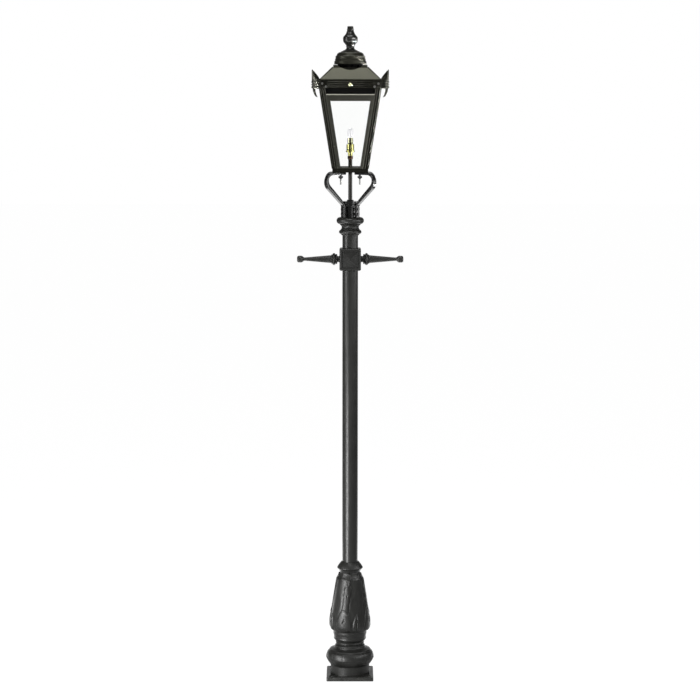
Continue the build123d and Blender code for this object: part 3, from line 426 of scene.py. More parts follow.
finishes = {
    "cast_paint": painted("castPaint", castLook),
    "column_paint": painted("columnPaint", columnLook),
    "frog_paint": painted("frogGloss", frogLook),
    "lantern_paint": painted("lanternPaint", lanternLook),
    "roof_paint": painted("roofPaintWithPaintedLight", roofPaintedLightLook),
    "finial_paint": painted("finialGloss", finialLook),
    "dome_paint": painted("domePaint", domeLook),
    "lamp_tube_paint": painted("bronzedTube", tubeLook),
    "porcelain": painted("porcelain", whiteLook),
    "brass": metal("brass", brassLook),
    "copper": metal("copper", copperLook),
    "lamp_metal": metal("nickel", nickelLook),
    "lamp_collar": metal("collarBrass", collarLook),
    "screw_brass": metal("litScrewBrass", litScrewBrassLook),
    "bolt_steel": metal("boltSteel", boltLook),
    "dark_steel": metal("darkSteel", darkSteelLook),
    "pane_glass": clearGlass("paneGlass", paneLook),
    "lamp_glass": painted("frostedGlass", frostLook),
    "filament": painted("filament", whiteLook),
}
slotOf = {entry["node"]: entry["material_slot"] for entry in frame["record"]["subparts"]}
for nodeName, obj in nodes.items():
    obj.data.materials.clear()
    obj.data.materials.append(finishes[slotOf[nodeName]])
# the vent collar and the top frame get this near-black paint as painted shade, so the vent gap and the recess
# under the cornice read dark
paintedShadeBlack = painted("paintedShadeBlack", paintedShadeLook)
for name in ("vent_collar", "top_frame"):
    nodes[name].data.materials[0] = paintedShadeBlack
print("finishes ready")


# Building pieces
def lathePath(points, arcSteps=8):
    # (radius, height) stretches of a turned outline in millimetres; a third number bows that stretch outwards
    path = [Vector((points[0][0], 0, points[0][1]))]
    for point in points[1:]:
        here, there = path[-1], Vector((point[0], 0, point[1]))
        if len(point) == 3:
            chord = there - here
            half = 2 * atan2(2 * point[2], chord.length)
            radius = chord.length / 2 / sin(half)
            outward = Vector((chord.z, 0, -chord.x)).normalized()
            for step in range(1, arcSteps):
                angle = half * (2 * step / arcSteps - 1)
                along = chord.normalized() * radius * sin(angle)
                path.append((here + there) / 2 + along + outward * radius * (cos(angle) - cos(half)))
        path.append(there)
    return path


def finer(path, longest):
    # the same path with no stretch longer than this
    fine = [path[0]]
    for here, there in zip(path, path[1:]):
        count = max(1, round((there - here).length / longest + 0.5))
        fine += [here.lerp(there, step / count) for step in range(1, count + 1)]
    return fine


def spinPath(bm, path, segments):
    verts = [bm.verts.new(point * mm) for point in path]
    edges = [bm.edges.new(pair) for pair in zip(verts, verts[1:])]
    bmesh.ops.spin(
        bm, geom=verts + edges, cent=(0, 0, 0), axis=(0, 0, 1), angle=2 * pi, steps=segments, use_merge=True
    )
    bmesh.ops.remove_doubles(bm, verts=bm.verts, dist=1e-6)


def turned(points, segments=64, arcSteps=8):
    bm = bmesh.new()
    spinPath(bm, lathePath(points, arcSteps), segments)
    return bm


def carve(bm, relief):
    # moves each point out from the upright axis by relief(angle, height), both in degrees and millimetres
    for vert in bm.verts:
        radius = hypot(vert.co.x, vert.co.y)
        if radius > 1e-5:
            angle = atan2(vert.co.x, -vert.co.y) * 180 / pi
            grown = 1 + relief(angle, vert.co.z / mm) * mm / radius
            vert.co.x *= grown
            vert.co.y *= grown


def roundEdges(bm, verts, rounding, segments=2, clamp=False):
    edges = list({edge for vert in verts for edge in vert.link_edges})
    return bmesh.ops.bevel(
        bm, geom=edges, offset=rounding * mm, affect="EDGES", segments=segments, profile=0.5, material=-1,
        clamp_overlap=clamp,
    )["faces"]


def raised(bm, verts, vec):
    # closes the points into a face, extrudes it by a vector in millimetres, and gives the new points
    grown = bmesh.ops.extrude_face_region(bm, geom=[bm.faces.new(verts)])["geom"]
    moved = [item for item in grown if isinstance(item, bmesh.types.BMVert)]
    bmesh.ops.translate(bm, verts=moved, vec=Vector(vec) * mm)
    return moved


def slabOf(bm, outline, place, thickness, rounding=0.0):
    # a flat outline in (u, z) millimetres, set upright by the matrix and given its thickness
    verts = [bm.verts.new((u * mm, -thickness / 2 * mm, z * mm)) for u, z in outline]
    every = verts + raised(bm, verts, (0, thickness, 0))
    if rounding:
        faces = roundEdges(bm, every, rounding, clamp=True)
        every = list({vert for face in faces for vert in face.verts} | {v for v in every if v.is_valid})
    bmesh.ops.transform(bm, matrix=place, verts=every)


def joinMesh(bm, other):
    # adds another bmesh to this one
    spare = bpy.data.meshes.new("spare")
    other.to_mesh(spare)
    other.free()
    bm.from_mesh(spare)
    bpy.data.meshes.remove(spare)


def ringBand(bm, loops):
    # closes neighbouring loops of points, in millimetres, into a band
    rings = []
    for loop in loops:
        verts = [bm.verts.new(Vector(point) * mm) for point in loop]
        rings.append([bm.edges.new(pair) for pair in zip(verts, verts[1:] + verts[:1])])
    for lower, upper in zip(rings, rings[1:]):
        bmesh.ops.bridge_loops(bm, edges=lower + upper)
    return rings


def pieceName(start, corner):
    return start + corner.title().replace("_", "")


def finished(name, bm, slotName, body, replaced=(), sharp=35, look=None):
    bmesh.ops.recalc_face_normals(bm, faces=bm.faces)
    mesh = bpy.data.meshes.new(name)
    bm.to_mesh(mesh)
    bm.free()
    mesh.materials.append(look or finishes[slotName])
    mesh.shade_smooth()
    mesh.set_sharp_from_angle(angle=radians(sharp))
    piece = bpy.data.objects.new(name, mesh)
    scene.collection.objects.link(piece)
    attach(piece, body)
    if replaced:
        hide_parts(*replaced)
    return piece


def hill(distance, width):
    # 1 on the line, 0 beyond the width, smooth between
    share = max(0.0, 1 - (distance / width) ** 2)
    return share * share


def step(value, low, high):
    share = min(1.0, max(0.0, (value - low) / (high - low)))
    return share * share * (3 - 2 * share)


# Base: cast leaves on the cup and taper, fluted cushion, turned rings, square plate
base = {
    "plateSide": 270, "plateHeight": 22, "plateCorner": 8, "cornerSteps": 5, "plateEdge": 4,
    "anchorSpacing": 216, "anchorRadius": 9, "drum": 112, "zDrum": 72, "cushion": 138, "zCushion": 114,
    "cushionUnder": 2, "cushionTop": 7, "shoulder": 113, "zShoulder": 163, "waist": 79.5, "zWaist": 192,
    "waistHollow": 6, "waistBand": 6, "cupFoot": 90.5, "zCupFoot": 225, "cupHollow": 3, "cupRing": 97,
    "cupBand": 12, "zCupRing": 272, "belly": 114, "zBelly": 316, "bellyUnder": 5, "bellyTop": 1,
    "taperFoot": 112, "zTaperFoot": 350, "taperHead": 71, "zTaperHead": 588, "neck": 60, "zNeck": 615,
    "neckBow": 3, "neckHollow": 3, "collar": 72.5, "zCollar": 641, "collarBand": 8, "collarBow": 1.5, "lip": 49,
    "wall": 12, "bore": 44.75, "socket": 170, "ledge": 20, "ledgeHole": 36, "segments": 288, "row": 3.4,
    "innerSegments": 96,
}
leaves = {
    "count": 4, "lean": 14, "turn": -20, "tip": 613, "budFoot": 574, "stalkFoot": 430, "low": 280,
    "taperIn": 43, "budHalf": 16, "budSwell": 1.15, "budPoint": 9, "neckHalf": 11, "stalkHalf": 20,
    "stalkWiden": 0.45, "bellyHalf": 47, "bellyWiden": 0.9, "height": 6.5, "edge": 3.0, "rim": 0.5, "crown": 0.6,
    "footCurve": 16, "footSoft": (-4, 2), "scallop": 1.8, "scallops": 4,
    "veins": ((562, 17), (487, 13)), "veinHalf": 4.0, "veinDepth": 4.0,
    "curl": 404, "curlFall": 22, "curlAcross": (-4, 26), "curlHalf": 6, "curlHeight": 2.2,
    "lobeAcross": 31, "lobeHalf": 13, "lobeHeight": 1.3, "lobeMiddle": 440, "lobeBend": 0.004,
    "lobeFoot": (380, 430), "lobeTip": 505, "lobeFade": 45,
    "secondTip": 388, "secondOver": 6, "secondFade": 40, "secondTurn": 40, "secondHalf": 11, "secondBelly": 22,
    "secondHeight": 5.0, "secondCurve": 12, "secondVein": 3.6, "secondVeinTop": 430, "secondVeinFade": 40,
}
slit = {"middle": 344, "half": 26, "width": 3.6, "depth": 4.5, "wave": 4, "start": 345, "pitch": 10}
cushionPanels = {
    "count": 12, "turn": 12, "low": 80, "lowCurve": 9, "lowSoft": (-2, 4), "high": 148, "highSoft": 6,
    "groove": 2.4, "grooveHalf": 2.6, "swell": 0.4,
}
shoulder = {"height": 600, "half": 24, "depth": 8}  # softens the taper's upper edge
turnedRings = ((222, 11, 3.6), (200, 4.5, 3.0), (184, 4.0, 3.2), (164, 5.0, 1.8))  # middle, half height, rise
turnedGrooves = ((246, 2.8, 2.4), (193, 2.4, 2.4), (173, 2.6, 2.4), (153, 2.6, 2.6), (276, 2.4, 2.0))


def nearest(angle, count, turn):
    # signed degrees to the nearest of count evenly spaced axes
    pitch = 360 / count
    return (angle - turn + pitch / 2) % pitch - pitch / 2


def mainLeafHalf(height):
    q = leaves
    if height > q["budFoot"]:
        share = (height - q["budFoot"]) / (q["tip"] - q["budFoot"])
        swell = (q["budHalf"] - q["neckHalf"]) * sin(pi * min(1, share * q["budSwell"]))
        return q["neckHalf"] + swell - q["budPoint"] * share ** 4
    if height > q["stalkFoot"]:
        share = (q["budFoot"] - height) / (q["budFoot"] - q["stalkFoot"])
        wave = q["scallop"] * sin(2 * pi * share * q["scallops"])
        return q["neckHalf"] + (q["stalkHalf"] - q["neckHalf"]) * step(share, 0, q["stalkWiden"]) + wave
    share = (q["stalkFoot"] - height) / (q["stalkFoot"] - base["zBelly"])
    return q["stalkHalf"] + (q["bellyHalf"] - q["stalkHalf"]) * step(share, 0, q["bellyWiden"])


def leafShape(across, half, height, low):
    # where the leaf stands, and how high it is there
    soft = leaves["footSoft"]
    shape = step(half - abs(across), 0, leaves["edge"]) * step(height, low + soft[0], low + soft[1])
    pillow = sqrt(max(0.0, 1 - (across / half) ** 2)) if half > 0 else 0.0
    return shape, shape * (leaves["rim"] + leaves["crown"] * pillow)


def leafRelief(angle, height, radius):
    q = leaves
    turn = q["turn"] + q["lean"] * step(height, base["zBelly"], q["tip"])
    perDegree = radius * pi / 180
    across = nearest(angle, q["count"], turn) * perDegree
    low = q["low"] + q["footCurve"] * (across / q["bellyHalf"]) ** 2
    relief = 0.0
    if height < q["tip"]:
        shape, swell = leafShape(across, mainLeafHalf(height), height, low)
        relief = q["height"] * swell
        veins = sum(hill(height - middle, half) for middle, half in q["veins"])
        relief -= q["veinDepth"] * hill(across, q["veinHalf"]) * veins
        bend = slit["wave"] * sin((height - slit["start"]) / slit["pitch"])
        cut = hill(across - bend, slit["width"]) * hill(height - slit["middle"], slit["half"])
        relief -= slit["depth"] * cut
        curl = q["curl"] - q["curlFall"] * step(across, *q["curlAcross"])
        relief += q["curlHeight"] * shape * hill(height - curl, q["curlHalf"])
    for hand in (1, -1):  # a low leaf tip curling out on each side of the stalk
        curve = q["lobeAcross"] + q["lobeBend"] * (height - q["lobeMiddle"]) ** 2
        tip = hill(hand * across - curve, q["lobeHalf"]) * step(height, *q["lobeFoot"])
        relief = max(relief, q["lobeHeight"] * tip * step(q["lobeTip"] - height, 0, q["lobeFade"]))
    second = nearest(angle, q["count"], turn + q["secondTurn"]) * perDegree
    share = step(q["secondTip"] - height, 0, q["secondTip"] - base["zBelly"])
    half = q["secondHalf"] * step(q["secondTip"] + q["secondOver"] - height, 0, q["secondFade"])
    half += (q["secondBelly"] - q["secondHalf"]) * share
    low = q["low"] + q["secondCurve"] * (second / q["secondBelly"]) ** 2
    if height < q["secondTip"] + q["secondOver"] and half > 1:
        shape, swell = leafShape(second, half, height, low)
        vein = hill(second, q["secondVein"]) * step(q["secondVeinTop"] - height, 0, q["secondVeinFade"])
        relief = max(relief, q["secondHeight"] * swell - q["secondVein"] * shape * vein)
    return relief


def baseRelief(angle, height):
    relief = 0.0
    if leaves["low"] - 10 < height < leaves["tip"]:
        radius = base["belly"] - leaves["taperIn"] * step(height, base["zTaperFoot"], base["zTaperHead"])
        relief += leafRelief(angle, height, radius)
    relief -= shoulder["depth"] * hill(height - shoulder["height"], shoulder["half"])
    for middle, half, rise in turnedRings:
        relief += rise * sqrt(max(0.0, 1 - ((height - middle) / half) ** 2))
    for middle, half, depth in turnedGrooves:
        relief -= depth * hill(height - middle, half)
    q = cushionPanels
    edge = 180 / q["count"]
    panel = nearest(angle, q["count"], q["turn"] + edge)
    across = (edge - abs(panel)) * base["cushion"] * pi / 180
    low = q["low"] + q["lowCurve"] * (panel / edge) ** 2
    inside = step(height, low + q["lowSoft"][0], low + q["lowSoft"][1])
    inside *= step(q["high"] - height, 0, q["highSoft"])
    relief += inside * q["swell"] * cos(panel / edge * pi / 2)
    relief -= inside * q["groove"] * hill(across, q["grooveHalf"])
    return relief


def circle(x, y, radius, count):
    turns = [2 * pi * k / count for k in range(count)]
    return [(x + radius * cos(turn), y + radius * sin(turn)) for turn in turns]


def basePlate(bm):
    half = base["plateSide"] / 2
    corner = base["plateCorner"]
    sweep = [90 * k / base["cornerSteps"] for k in range(base["cornerSteps"] + 1)]
    loops = [[
        (sx * (half - corner) + corner * cos(a), sy * (half - corner) + corner * sin(a))
        for sx, sy, start in ((1, 1, 0), (-1, 1, 90), (-1, -1, 180), (1, -1, 270))
        for a in [radians(start + turn) for turn in sweep]
    ]]
    loops.append(circle(0, 0, base["drum"] - base["wall"], 64))
    reach = base["anchorSpacing"] / 2
    loops += [circle(x * reach, y * reach, base["anchorRadius"], 24) for x in (-1, 1) for y in (-1, 1)]
    edges = []
    for loop in loops:
        verts = [bm.verts.new((x * mm, y * mm, 0)) for x, y in loop]
        edges += [bm.edges.new(pair) for pair in zip(verts, verts[1:] + verts[:1])]
    faces = bmesh.ops.triangle_fill(bm, edges=edges, use_beauty=True)["geom"]
    faces = [item for item in faces if isinstance(item, bmesh.types.BMFace)]
    grown = bmesh.ops.extrude_face_region(bm, geom=faces, use_keep_orig=True)["geom"]
    upper = [item for item in grown if isinstance(item, bmesh.types.BMVert)]
    bmesh.ops.translate(bm, verts=upper, vec=(0, 0, base["plateHeight"] * mm))
    top = [edge for edge in bm.edges if edge.is_valid and all(vert in upper for vert in edge.verts)]
    top = [edge for edge in top if not all(abs(face.normal.z) > 0.9 for face in edge.link_faces)]
    bmesh.ops.bevel(
        bm, geom=top, offset=base["plateEdge"] * mm, affect="EDGES", segments=2, profile=0.5, material=-1
    )


def buildBase():
    b = base
    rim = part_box("base_casting")[1][2] / mm
    outer = lathePath([
        (b["drum"], b["plateHeight"] - 2), (b["drum"], b["zDrum"]),
        (b["cushion"], b["zCushion"], b["cushionUnder"]), (b["shoulder"], b["zShoulder"], b["cushionTop"]),
        (b["waist"], b["zWaist"], -b["waistHollow"]),
        (b["waist"], b["zWaist"] + b["waistBand"]), (b["cupFoot"], b["zCupFoot"], -b["cupHollow"]),
        (b["cupRing"], b["zCupRing"] - b["cupBand"]), (b["cupRing"], b["zCupRing"]),
        (b["belly"], b["zBelly"], b["bellyUnder"]), (b["taperFoot"], b["zTaperFoot"], b["bellyTop"]),
        (b["taperHead"], b["zTaperHead"]), (b["neck"], b["zNeck"], b["neckBow"]),
        (b["collar"], b["zCollar"] - b["collarBand"] / 2, -b["neckHollow"]),
        (b["collar"], b["zCollar"] + b["collarBand"] / 2, b["collarBow"]), (b["lip"], rim, b["collarBow"]),
    ])
    bm = bmesh.new()
    spinPath(bm, finer(outer, b["row"]), b["segments"])
    carve(bm, baseRelief)
    rim = outer[-1].z
    inner = [
        (b["lip"], rim), (b["bore"], rim), (b["bore"], rim - b["socket"]),
        (b["ledgeHole"], rim - b["socket"] - b["ledge"]), (b["belly"] - b["wall"], b["zBelly"]),
        (b["waist"] - b["wall"], b["zWaist"]), (b["drum"] - b["wall"], b["zDrum"]), (b["drum"] - b["wall"], 0),
    ]
    spinPath(bm, lathePath(inner), b["innerSegments"])
    basePlate(bm)
    finished("baseCasting", bm, "cast_paint", "post", ["base_casting"], sharp=50)


buildBase()
print("base done")


# Column: tube, capital and ladder arms
tube = {"wall": 4, "segments": 96}
capital = {
    "footRadius": 52, "footStep": 3, "ringRadius": 64.5, "ringHeight": 34, "neck": 56, "neckRise": 28,
    "neckHollow": 4, "bowl": 60, "bowlSwell": 20, "bowlHeight": 40, "bowlLip": 12, "bead": 1.6, "bore": 44.75,
    "headBore": 33, "headWall": 20, "segments": 72, "arcSteps": 12,
}


def buildTube():
    low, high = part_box("column_tube")
    radius, foot, head = high[0] / mm, low[2] / mm, high[2] / mm
    inner = radius - tube["wall"]
    bm = turned([(inner, foot), (radius, foot), (radius, head), (inner, head), (inner, foot)], tube["segments"])
    finished("columnTube", bm, "column_paint", "post", ["column_tube"])


def buildCapital():
    c = capital
    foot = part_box("column_capital")[0][2] / mm
    ringTop = foot + c["ringHeight"]
    bowlFoot = ringTop + c["neckRise"]
    bowlTop = bowlFoot + c["bowlHeight"]
    ringBow = c["ringRadius"] - c["footRadius"] - 1
    bm = turned([
        (c["bore"], foot), (c["footRadius"] - c["footStep"], foot), (c["footRadius"] - 1, foot + 5, c["bead"]),
        (c["footRadius"], foot + 7), (c["footRadius"] + 1, ringTop - 4, ringBow),
        (c["footRadius"] + 1.5, ringTop, c["bead"]), (c["neck"] - 4, bowlFoot - 8, -c["neckHollow"]),
        (c["neck"], bowlFoot - 5), (c["neck"] + 2, bowlFoot - 1, c["bead"]), (c["bowl"] - 3, bowlFoot + 1),
        (c["bowl"], bowlTop, c["bowlSwell"] - 0.5), (c["bowl"] - c["bowlLip"], bowlTop - 2),
        (c["headBore"], bowlTop - 2), (c["headBore"], bowlTop - c["headWall"]),
        (c["bore"], bowlTop - c["headWall"]), (c["bore"], foot),
    ], c["segments"], c["arcSteps"])
    finished("columnCapital", bm, "cast_paint", "post", ["column_capital"])


buildTube()
buildCapital()

arm = {
    "root": 61, "spigot": 12, "spigotLength": 14, "neck": 18, "neckLength": 13, "ring": 34.5, "ringLength": 34,
    "flat": 21.5, "tip": 9.5, "taperLength": 154, "knobTip": 12.5, "knob": 19, "knobLength": 41, "sides": 8,
    "edge": 1.2,
}


def buildLadderArm(name, hand):
    a = arm
    height = (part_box("ladder_boss")[0][2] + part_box("ladder_boss")[1][2]) / 2
    start = a["root"] - a["spigotLength"]
    ringStart = a["root"] + a["neckLength"]
    ringEnd = ringStart + a["ringLength"]
    knobStart = ringEnd + a["taperLength"]
    end = knobStart + a["knobLength"]
    bm = turned([
        (0, start), (a["spigot"], start), (a["spigot"], a["root"]), (a["neck"] + 3, a["root"]),
        (a["neck"], a["root"] + 4, -1), (a["neck"], ringStart - 1), (a["flat"] + 2, ringStart),
        (a["flat"] + 5, ringStart + 8, 4), (a["flat"] + 6, ringStart + 10),
        (a["flat"] + 6, ringStart + 27, a["ring"] - a["flat"] - 6), (a["flat"] + 3, ringStart + 29),
        (a["flat"] + 3, ringEnd, 2), (0, ringEnd),
    ], 48)
    corner = 1 / cos(pi / a["sides"])  # from the flats to the edges of the tapered bar
    flats = [
        (0, ringEnd - 2), (a["flat"] * corner, ringEnd - 2), (a["flat"] * corner, ringEnd + 5),
        (a["tip"] * corner, knobStart - 6), ((a["knobTip"] - 1) * corner, knobStart + 4, -1),
        (a["knob"] * corner, knobStart + 15, 1), (a["knob"] * corner, end - 12),
        (a["knobTip"] * corner, end - 1, 2), (0, end),
    ]
    bar = turned(flats, a["sides"], 3)
    bmesh.ops.rotate(bar, verts=bar.verts, cent=(0, 0, 0), matrix=Matrix.Rotation(pi / a["sides"], 3, "Z"))
    sharpEdges = [e for e in bar.edges if len(e.link_faces) == 2 and e.calc_face_angle(0) > radians(30)]
    bmesh.ops.bevel(
        bar, geom=sharpEdges, offset=a["edge"] * mm, affect="EDGES", segments=2, profile=0.5, material=-1
    )
    joinMesh(bm, bar)
    lay = Matrix.Translation((0, 0, height)) @ Matrix.Rotation(hand * pi / 2, 4, "Y")
    bmesh.ops.transform(bm, matrix=lay, verts=bm.verts)
    finished(name, bm, "cast_paint", "post", [f"ladder_arm_{'right' if hand > 0 else 'left'}"], sharp=30)


buildLadderArm("ladderArmRight", 1)
buildLadderArm("ladderArmLeft", -1)
print("column done")


# Lantern roof: reeded cornice, hips, dome, fluted finial, corner ears and the roof screw
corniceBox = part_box("cornice")
cornice = {
    "half": corniceBox[1][0] / mm, "foot": corniceBox[0][2] / mm, "head": corniceBox[1][2] / mm,
    "cornerCut": 7.07, "wall": 14.5, "reeds": 4, "reedGap": 2.4, "fillet": 2.6, "groundIn": 4.2,
}


def squareLoop(half, height, cut):
    short = half - cut
    ends = [(half, -short), (half, short), (short, half), (-short, half)]
    return [(x, y, height) for x, y in ends] + [(-x, -y, height) for x, y in ends]


def buildCornice():
    c = cornice
    ground = c["half"] - c["groundIn"]
    span = c["head"] - c["foot"] - 2 * c["fillet"]
    pitch = span / c["reeds"]
    points = [(c["half"], c["foot"]), (c["half"], c["foot"] + c["fillet"])]
    for k in range(c["reeds"]):
        start = c["foot"] + c["fillet"] + k * pitch + c["reedGap"] / 2
        points += [(ground, start), (ground, start + pitch - c["reedGap"], c["groundIn"])]
    points += [(c["half"], c["head"] - c["fillet"]), (c["half"], c["head"])]
    inner = c["half"] - c["wall"]
    points += [(inner, c["head"]), (inner, c["foot"]), (c["half"], c["foot"])]
    bm = bmesh.new()
    ringBand(bm, [squareLoop(p.x, p.z, c["cornerCut"]) for p in lathePath(points, 5)])
    bmesh.ops.remove_doubles(bm, verts=bm.verts, dist=1e-6)
    finished("reededCornice", bm, "lantern_paint", "roof", ["cornice"], sharp=40)


buildCornice()


def rodBetween(bm, start, end, radius, sides=10):
    run = (Vector(end) - Vector(start)) * mm
    turn = run.to_track_quat("Z", "Y").to_matrix().to_4x4()
    place = Matrix.Translation((Vector(start) + Vector(end)) / 2 * mm) @ turn
    bmesh.ops.create_cone(
        bm, cap_ends=True, segments=sides, radius1=radius * mm, radius2=radius * mm, depth=run.length,
        matrix=place,
    )


hips = {"radius": 2.6, "footIn": 1.5, "footRise": 6, "headHalf": 99}


def buildHips():
    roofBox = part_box("roof_shell")
    foot, half = roofBox[0][2] / mm + hips["footRise"], roofBox[1][0] / mm - hips["footIn"]
    head = foot + half - hips["headHalf"] - hips["footIn"]
    bm = bmesh.new()
    for x in (-1, 1):
        for y in (-1, 1):
            top = (x * hips["headHalf"], y * hips["headHalf"], head)
            rodBetween(bm, (x * half, y * half, foot), top, hips["radius"])
    finished("roofHips", bm, "lantern_paint", "roof")


buildHips()

dome = {
    "rim": 91.5, "rimHeight": 18, "shoulder": 86, "side": 84, "crown": 50, "foot": 39, "inner": 66,
    "rimWall": 4, "ledge": 15, "bead": 1.8, "bore": 6.1, "headWall": 14, "segments": 96,
}


def buildDome():
    d = dome
    low, high = [corner[2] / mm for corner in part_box("chimney_dome")]
    rim, shoulder, side, crown = d["rim"], d["shoulder"], d["side"], d["crown"]
    bm = turned([
        (d["bore"], high - d["headWall"]), (d["inner"], high - d["headWall"]), (d["inner"], low + d["ledge"]),
        (rim - d["rimWall"], low + d["ledge"]), (rim - d["rimWall"], low), (rim - 1, low), (rim, low + 5, 1),
        (rim - 1.5, low + 6), (rim - 1, low + 16, 0.6), (rim - 2.5, low + d["rimHeight"], 0.8),
        (shoulder + 1, low + 24, -1.5), (shoulder, low + 25), (shoulder, low + 29, d["bead"]),
        (side, low + 31), (side - 0.5, low + 44), (side - 3, low + 47, 1.5), (side - 6, low + 49),
        (crown + 3, low + 69, 6), (crown + 1, low + 70), (crown - 1, low + 73, d["bead"]),
        (d["foot"] + 2, high - 0.5), (d["bore"], high), (d["bore"], high - d["headWall"]),
    ], d["segments"])
    finished("ringedDome", bm, "roof_paint", "roof", ["chimney_dome"], sharp=40, look=finishes["dome_paint"])


buildDome()

finial = {"lobes": 8, "turn": 12, "depth": 2.4, "rodRadius": 6, "rodLength": 30}


def buildFinial():
    f = finial
    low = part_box("finial")[0][2] / mm + f["rodLength"]
    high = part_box("finial")[1][2] / mm
    foot, neck, cup, bulb = low + 3, low + 21, low + 46, low + 68
    shoulder, waist = bulb + 15, bulb + 46
    path = lathePath([
        (0, low), (39, low), (39, foot, 1.2), (30, foot + 4, -1.5), (22.2, neck, -3), (24.2, neck + 2.5, 1),
        (22.2, neck + 5, 1), (36, cup, -1), (40.5, bulb - 3, 2), (41.5, bulb), (40, bulb + 3, 0.8),
        (34.5, shoulder, 2), (18.5, waist, -3), (20, waist + 3, 0.8), (18, waist + 6, 0.8), (16.5, high - 3),
        (14, high, 1), (0, high),
    ])

    def flutes(angle, height):
        lobe = abs(nearest(angle, f["lobes"], f["turn"])) * f["lobes"] / 180
        share = step(height, neck + 6, cup) * (1 - step(height, waist - 8, waist))
        return share * (f["depth"] * 0.35 - f["depth"] * lobe ** 3)

    bm = bmesh.new()
    spinPath(bm, finer(path, 3), 96)
    carve(bm, flutes)
    end = low - f["rodLength"]
    spinPath(bm, lathePath([(0, end), (f["rodRadius"], end), (f["rodRadius"], low)]), 24)
    finished("flutedFinial", bm, "roof_paint", "roof", ["finial"], sharp=30, look=finishes["finial_paint"])


buildFinial()

ear = {
    "reach": 216.5, "blockThick": 16, "leafThick": 10, "leafRound": 2.2, "round": 1.2, "bury": 4,
    "wrap": 4, "wing": 125.5, "wingLow": 3, "wingHigh": 43, "seat": 165.5,
    # sideways, and above the cornice's head or its foot
    "innerEdge": ((175, 6), (185, 24), (198, 41), (209, 53), (215.5, 58)),
    "tail": ((207, 2, 5.0), (205, -14, 4.6), (200, -30, 3.8), (194, -42, 3.0), (188, -47, 2.2)),
    "tailFlat": 0.8,
    "rings": (  # low, high, set in, thicker
        (1, 12, 0, 0), (12, 17, 3, -4), (17, 25, 0, 1), (25, 30, 3, -4), (30, 39, 0, 1), (39, 45, 2, -2),
    ),
}


def horn(bm, spots, sides=10):
    # a tapering bar through (u, height, half size) spots in the upright plane of the first axis
    rings = []
    for u, height, half in spots:
        ring = []
        for k in range(sides):
            angle = 2 * pi * k / sides
            ring.append((u + half * cos(angle), half * ear["tailFlat"] * sin(angle), height))
        rings.append(ring)
    bands = ringBand(bm, rings)
    for end in (bands[0], bands[-1]):
        bmesh.ops.contextual_create(bm, geom=end)


def buildEar(name, node, turn):
    e = ear
    foot, head = cornice["foot"], cornice["head"]
    root2 = sqrt(2)
    outer = e["reach"] * root2 - e["blockThick"] / 2
    bm = bmesh.new()
    upright = Matrix.Identity(4)
    leaf = [(outer, head - e["bury"]), (outer, head + e["innerEdge"][-1][1])]
    leaf += [(x * root2 + e["leafThick"] / 2 - 4, head + rise) for x, rise in reversed(e["innerEdge"][:-1])]
    leaf += [(e["innerEdge"][0][0] * root2, head - e["bury"])]
    slabOf(bm, leaf, upright, e["leafThick"], e["leafRound"])
    inner = cornice["half"] * root2 - 3
    for low, high, inset, thicker in e["rings"]:
        edge = outer - inset
        block = [(inner, foot + low), (edge, foot + low), (edge, foot + high), (inner, foot + high)]
        slabOf(bm, block, upright, e["blockThick"] + thicker, e["round"])
    horn(bm, [((x * root2 - 2), foot + rise, half) for x, rise, half in e["tail"]])
    bmesh.ops.transform(bm, matrix=Matrix.Rotation(pi / 4, 4, "Z"), verts=bm.verts)
    wall, skin = cornice["half"], cornice["half"] + e["wrap"]
    strap = [
        (wall, e["wing"]), (skin, e["wing"]), (skin, e["seat"] + 2), (e["seat"] + 2, skin), (e["wing"], skin),
        (e["wing"], wall), (e["seat"], wall), (wall, e["seat"]),
    ]
    verts = [bm.verts.new((x * mm, y * mm, (foot + e["wingLow"]) * mm)) for x, y in strap]
    moved = raised(bm, verts, (0, 0, e["wingHigh"] - e["wingLow"]))
    roundEdges(bm, moved + verts, e["round"])
    bmesh.ops.transform(bm, matrix=Matrix.Rotation(radians(turn), 4, "Z"), verts=bm.verts)
    finished(name, bm, "lantern_paint", "roof", [node], sharp=30)


for corner, turn in (("front_right", -90), ("back_right", 0), ("back_left", 90), ("front_left", 180)):
    buildEar(pieceName("leafEar", corner), f"ear_{corner}", turn)

screw = {
    "collar": 7.5, "knob": 11, "headLength": 15, "collarLength": 4, "shank": 4, "ridges": 18, "ridge": 0.7,
    "row": 1.5, "segments": 108,
}


def buildScrew():
    s = screw
    low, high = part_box("roof_screw")
    front, rear = -low[1] / mm, -high[1] / mm
    start = front - s["headLength"]
    path = lathePath([
        (0, rear), (s["shank"], rear), (s["shank"], start), (s["collar"], start),
        (s["collar"], start + s["collarLength"]),
        (s["knob"] - 1.5, start + 4.5), (s["knob"] - 0.5, start + 5.5, 0.4), (s["knob"] - 0.5, front - 3.5),
        (s["knob"] - 3.5, front - 0.5, 1), (s["knob"] - 5, front - 1.2), (0, front, 0.6),
    ])

    def knurl(angle, height):
        inside = step(height, start + 4.5, start + 6) * (1 - step(height, front - 4.5, front - 3))
        return s["ridge"] * inside * cos(radians(angle * s["ridges"]))

    bm = bmesh.new()
    spinPath(bm, finer(path, s["row"]), s["segments"])
    carve(bm, knurl)
    axis = (low[2] + high[2]) / 2
    lay = Matrix.Translation((0, 0, axis)) @ Matrix.Rotation(pi / 2, 4, "X")
    bmesh.ops.transform(bm, matrix=lay, verts=bm.verts)
    finished("knurledScrew", bm, "brass", "roof_screw", ["roof_screw"], look=finishes["screw_brass"])


buildScrew()
print("roof done")


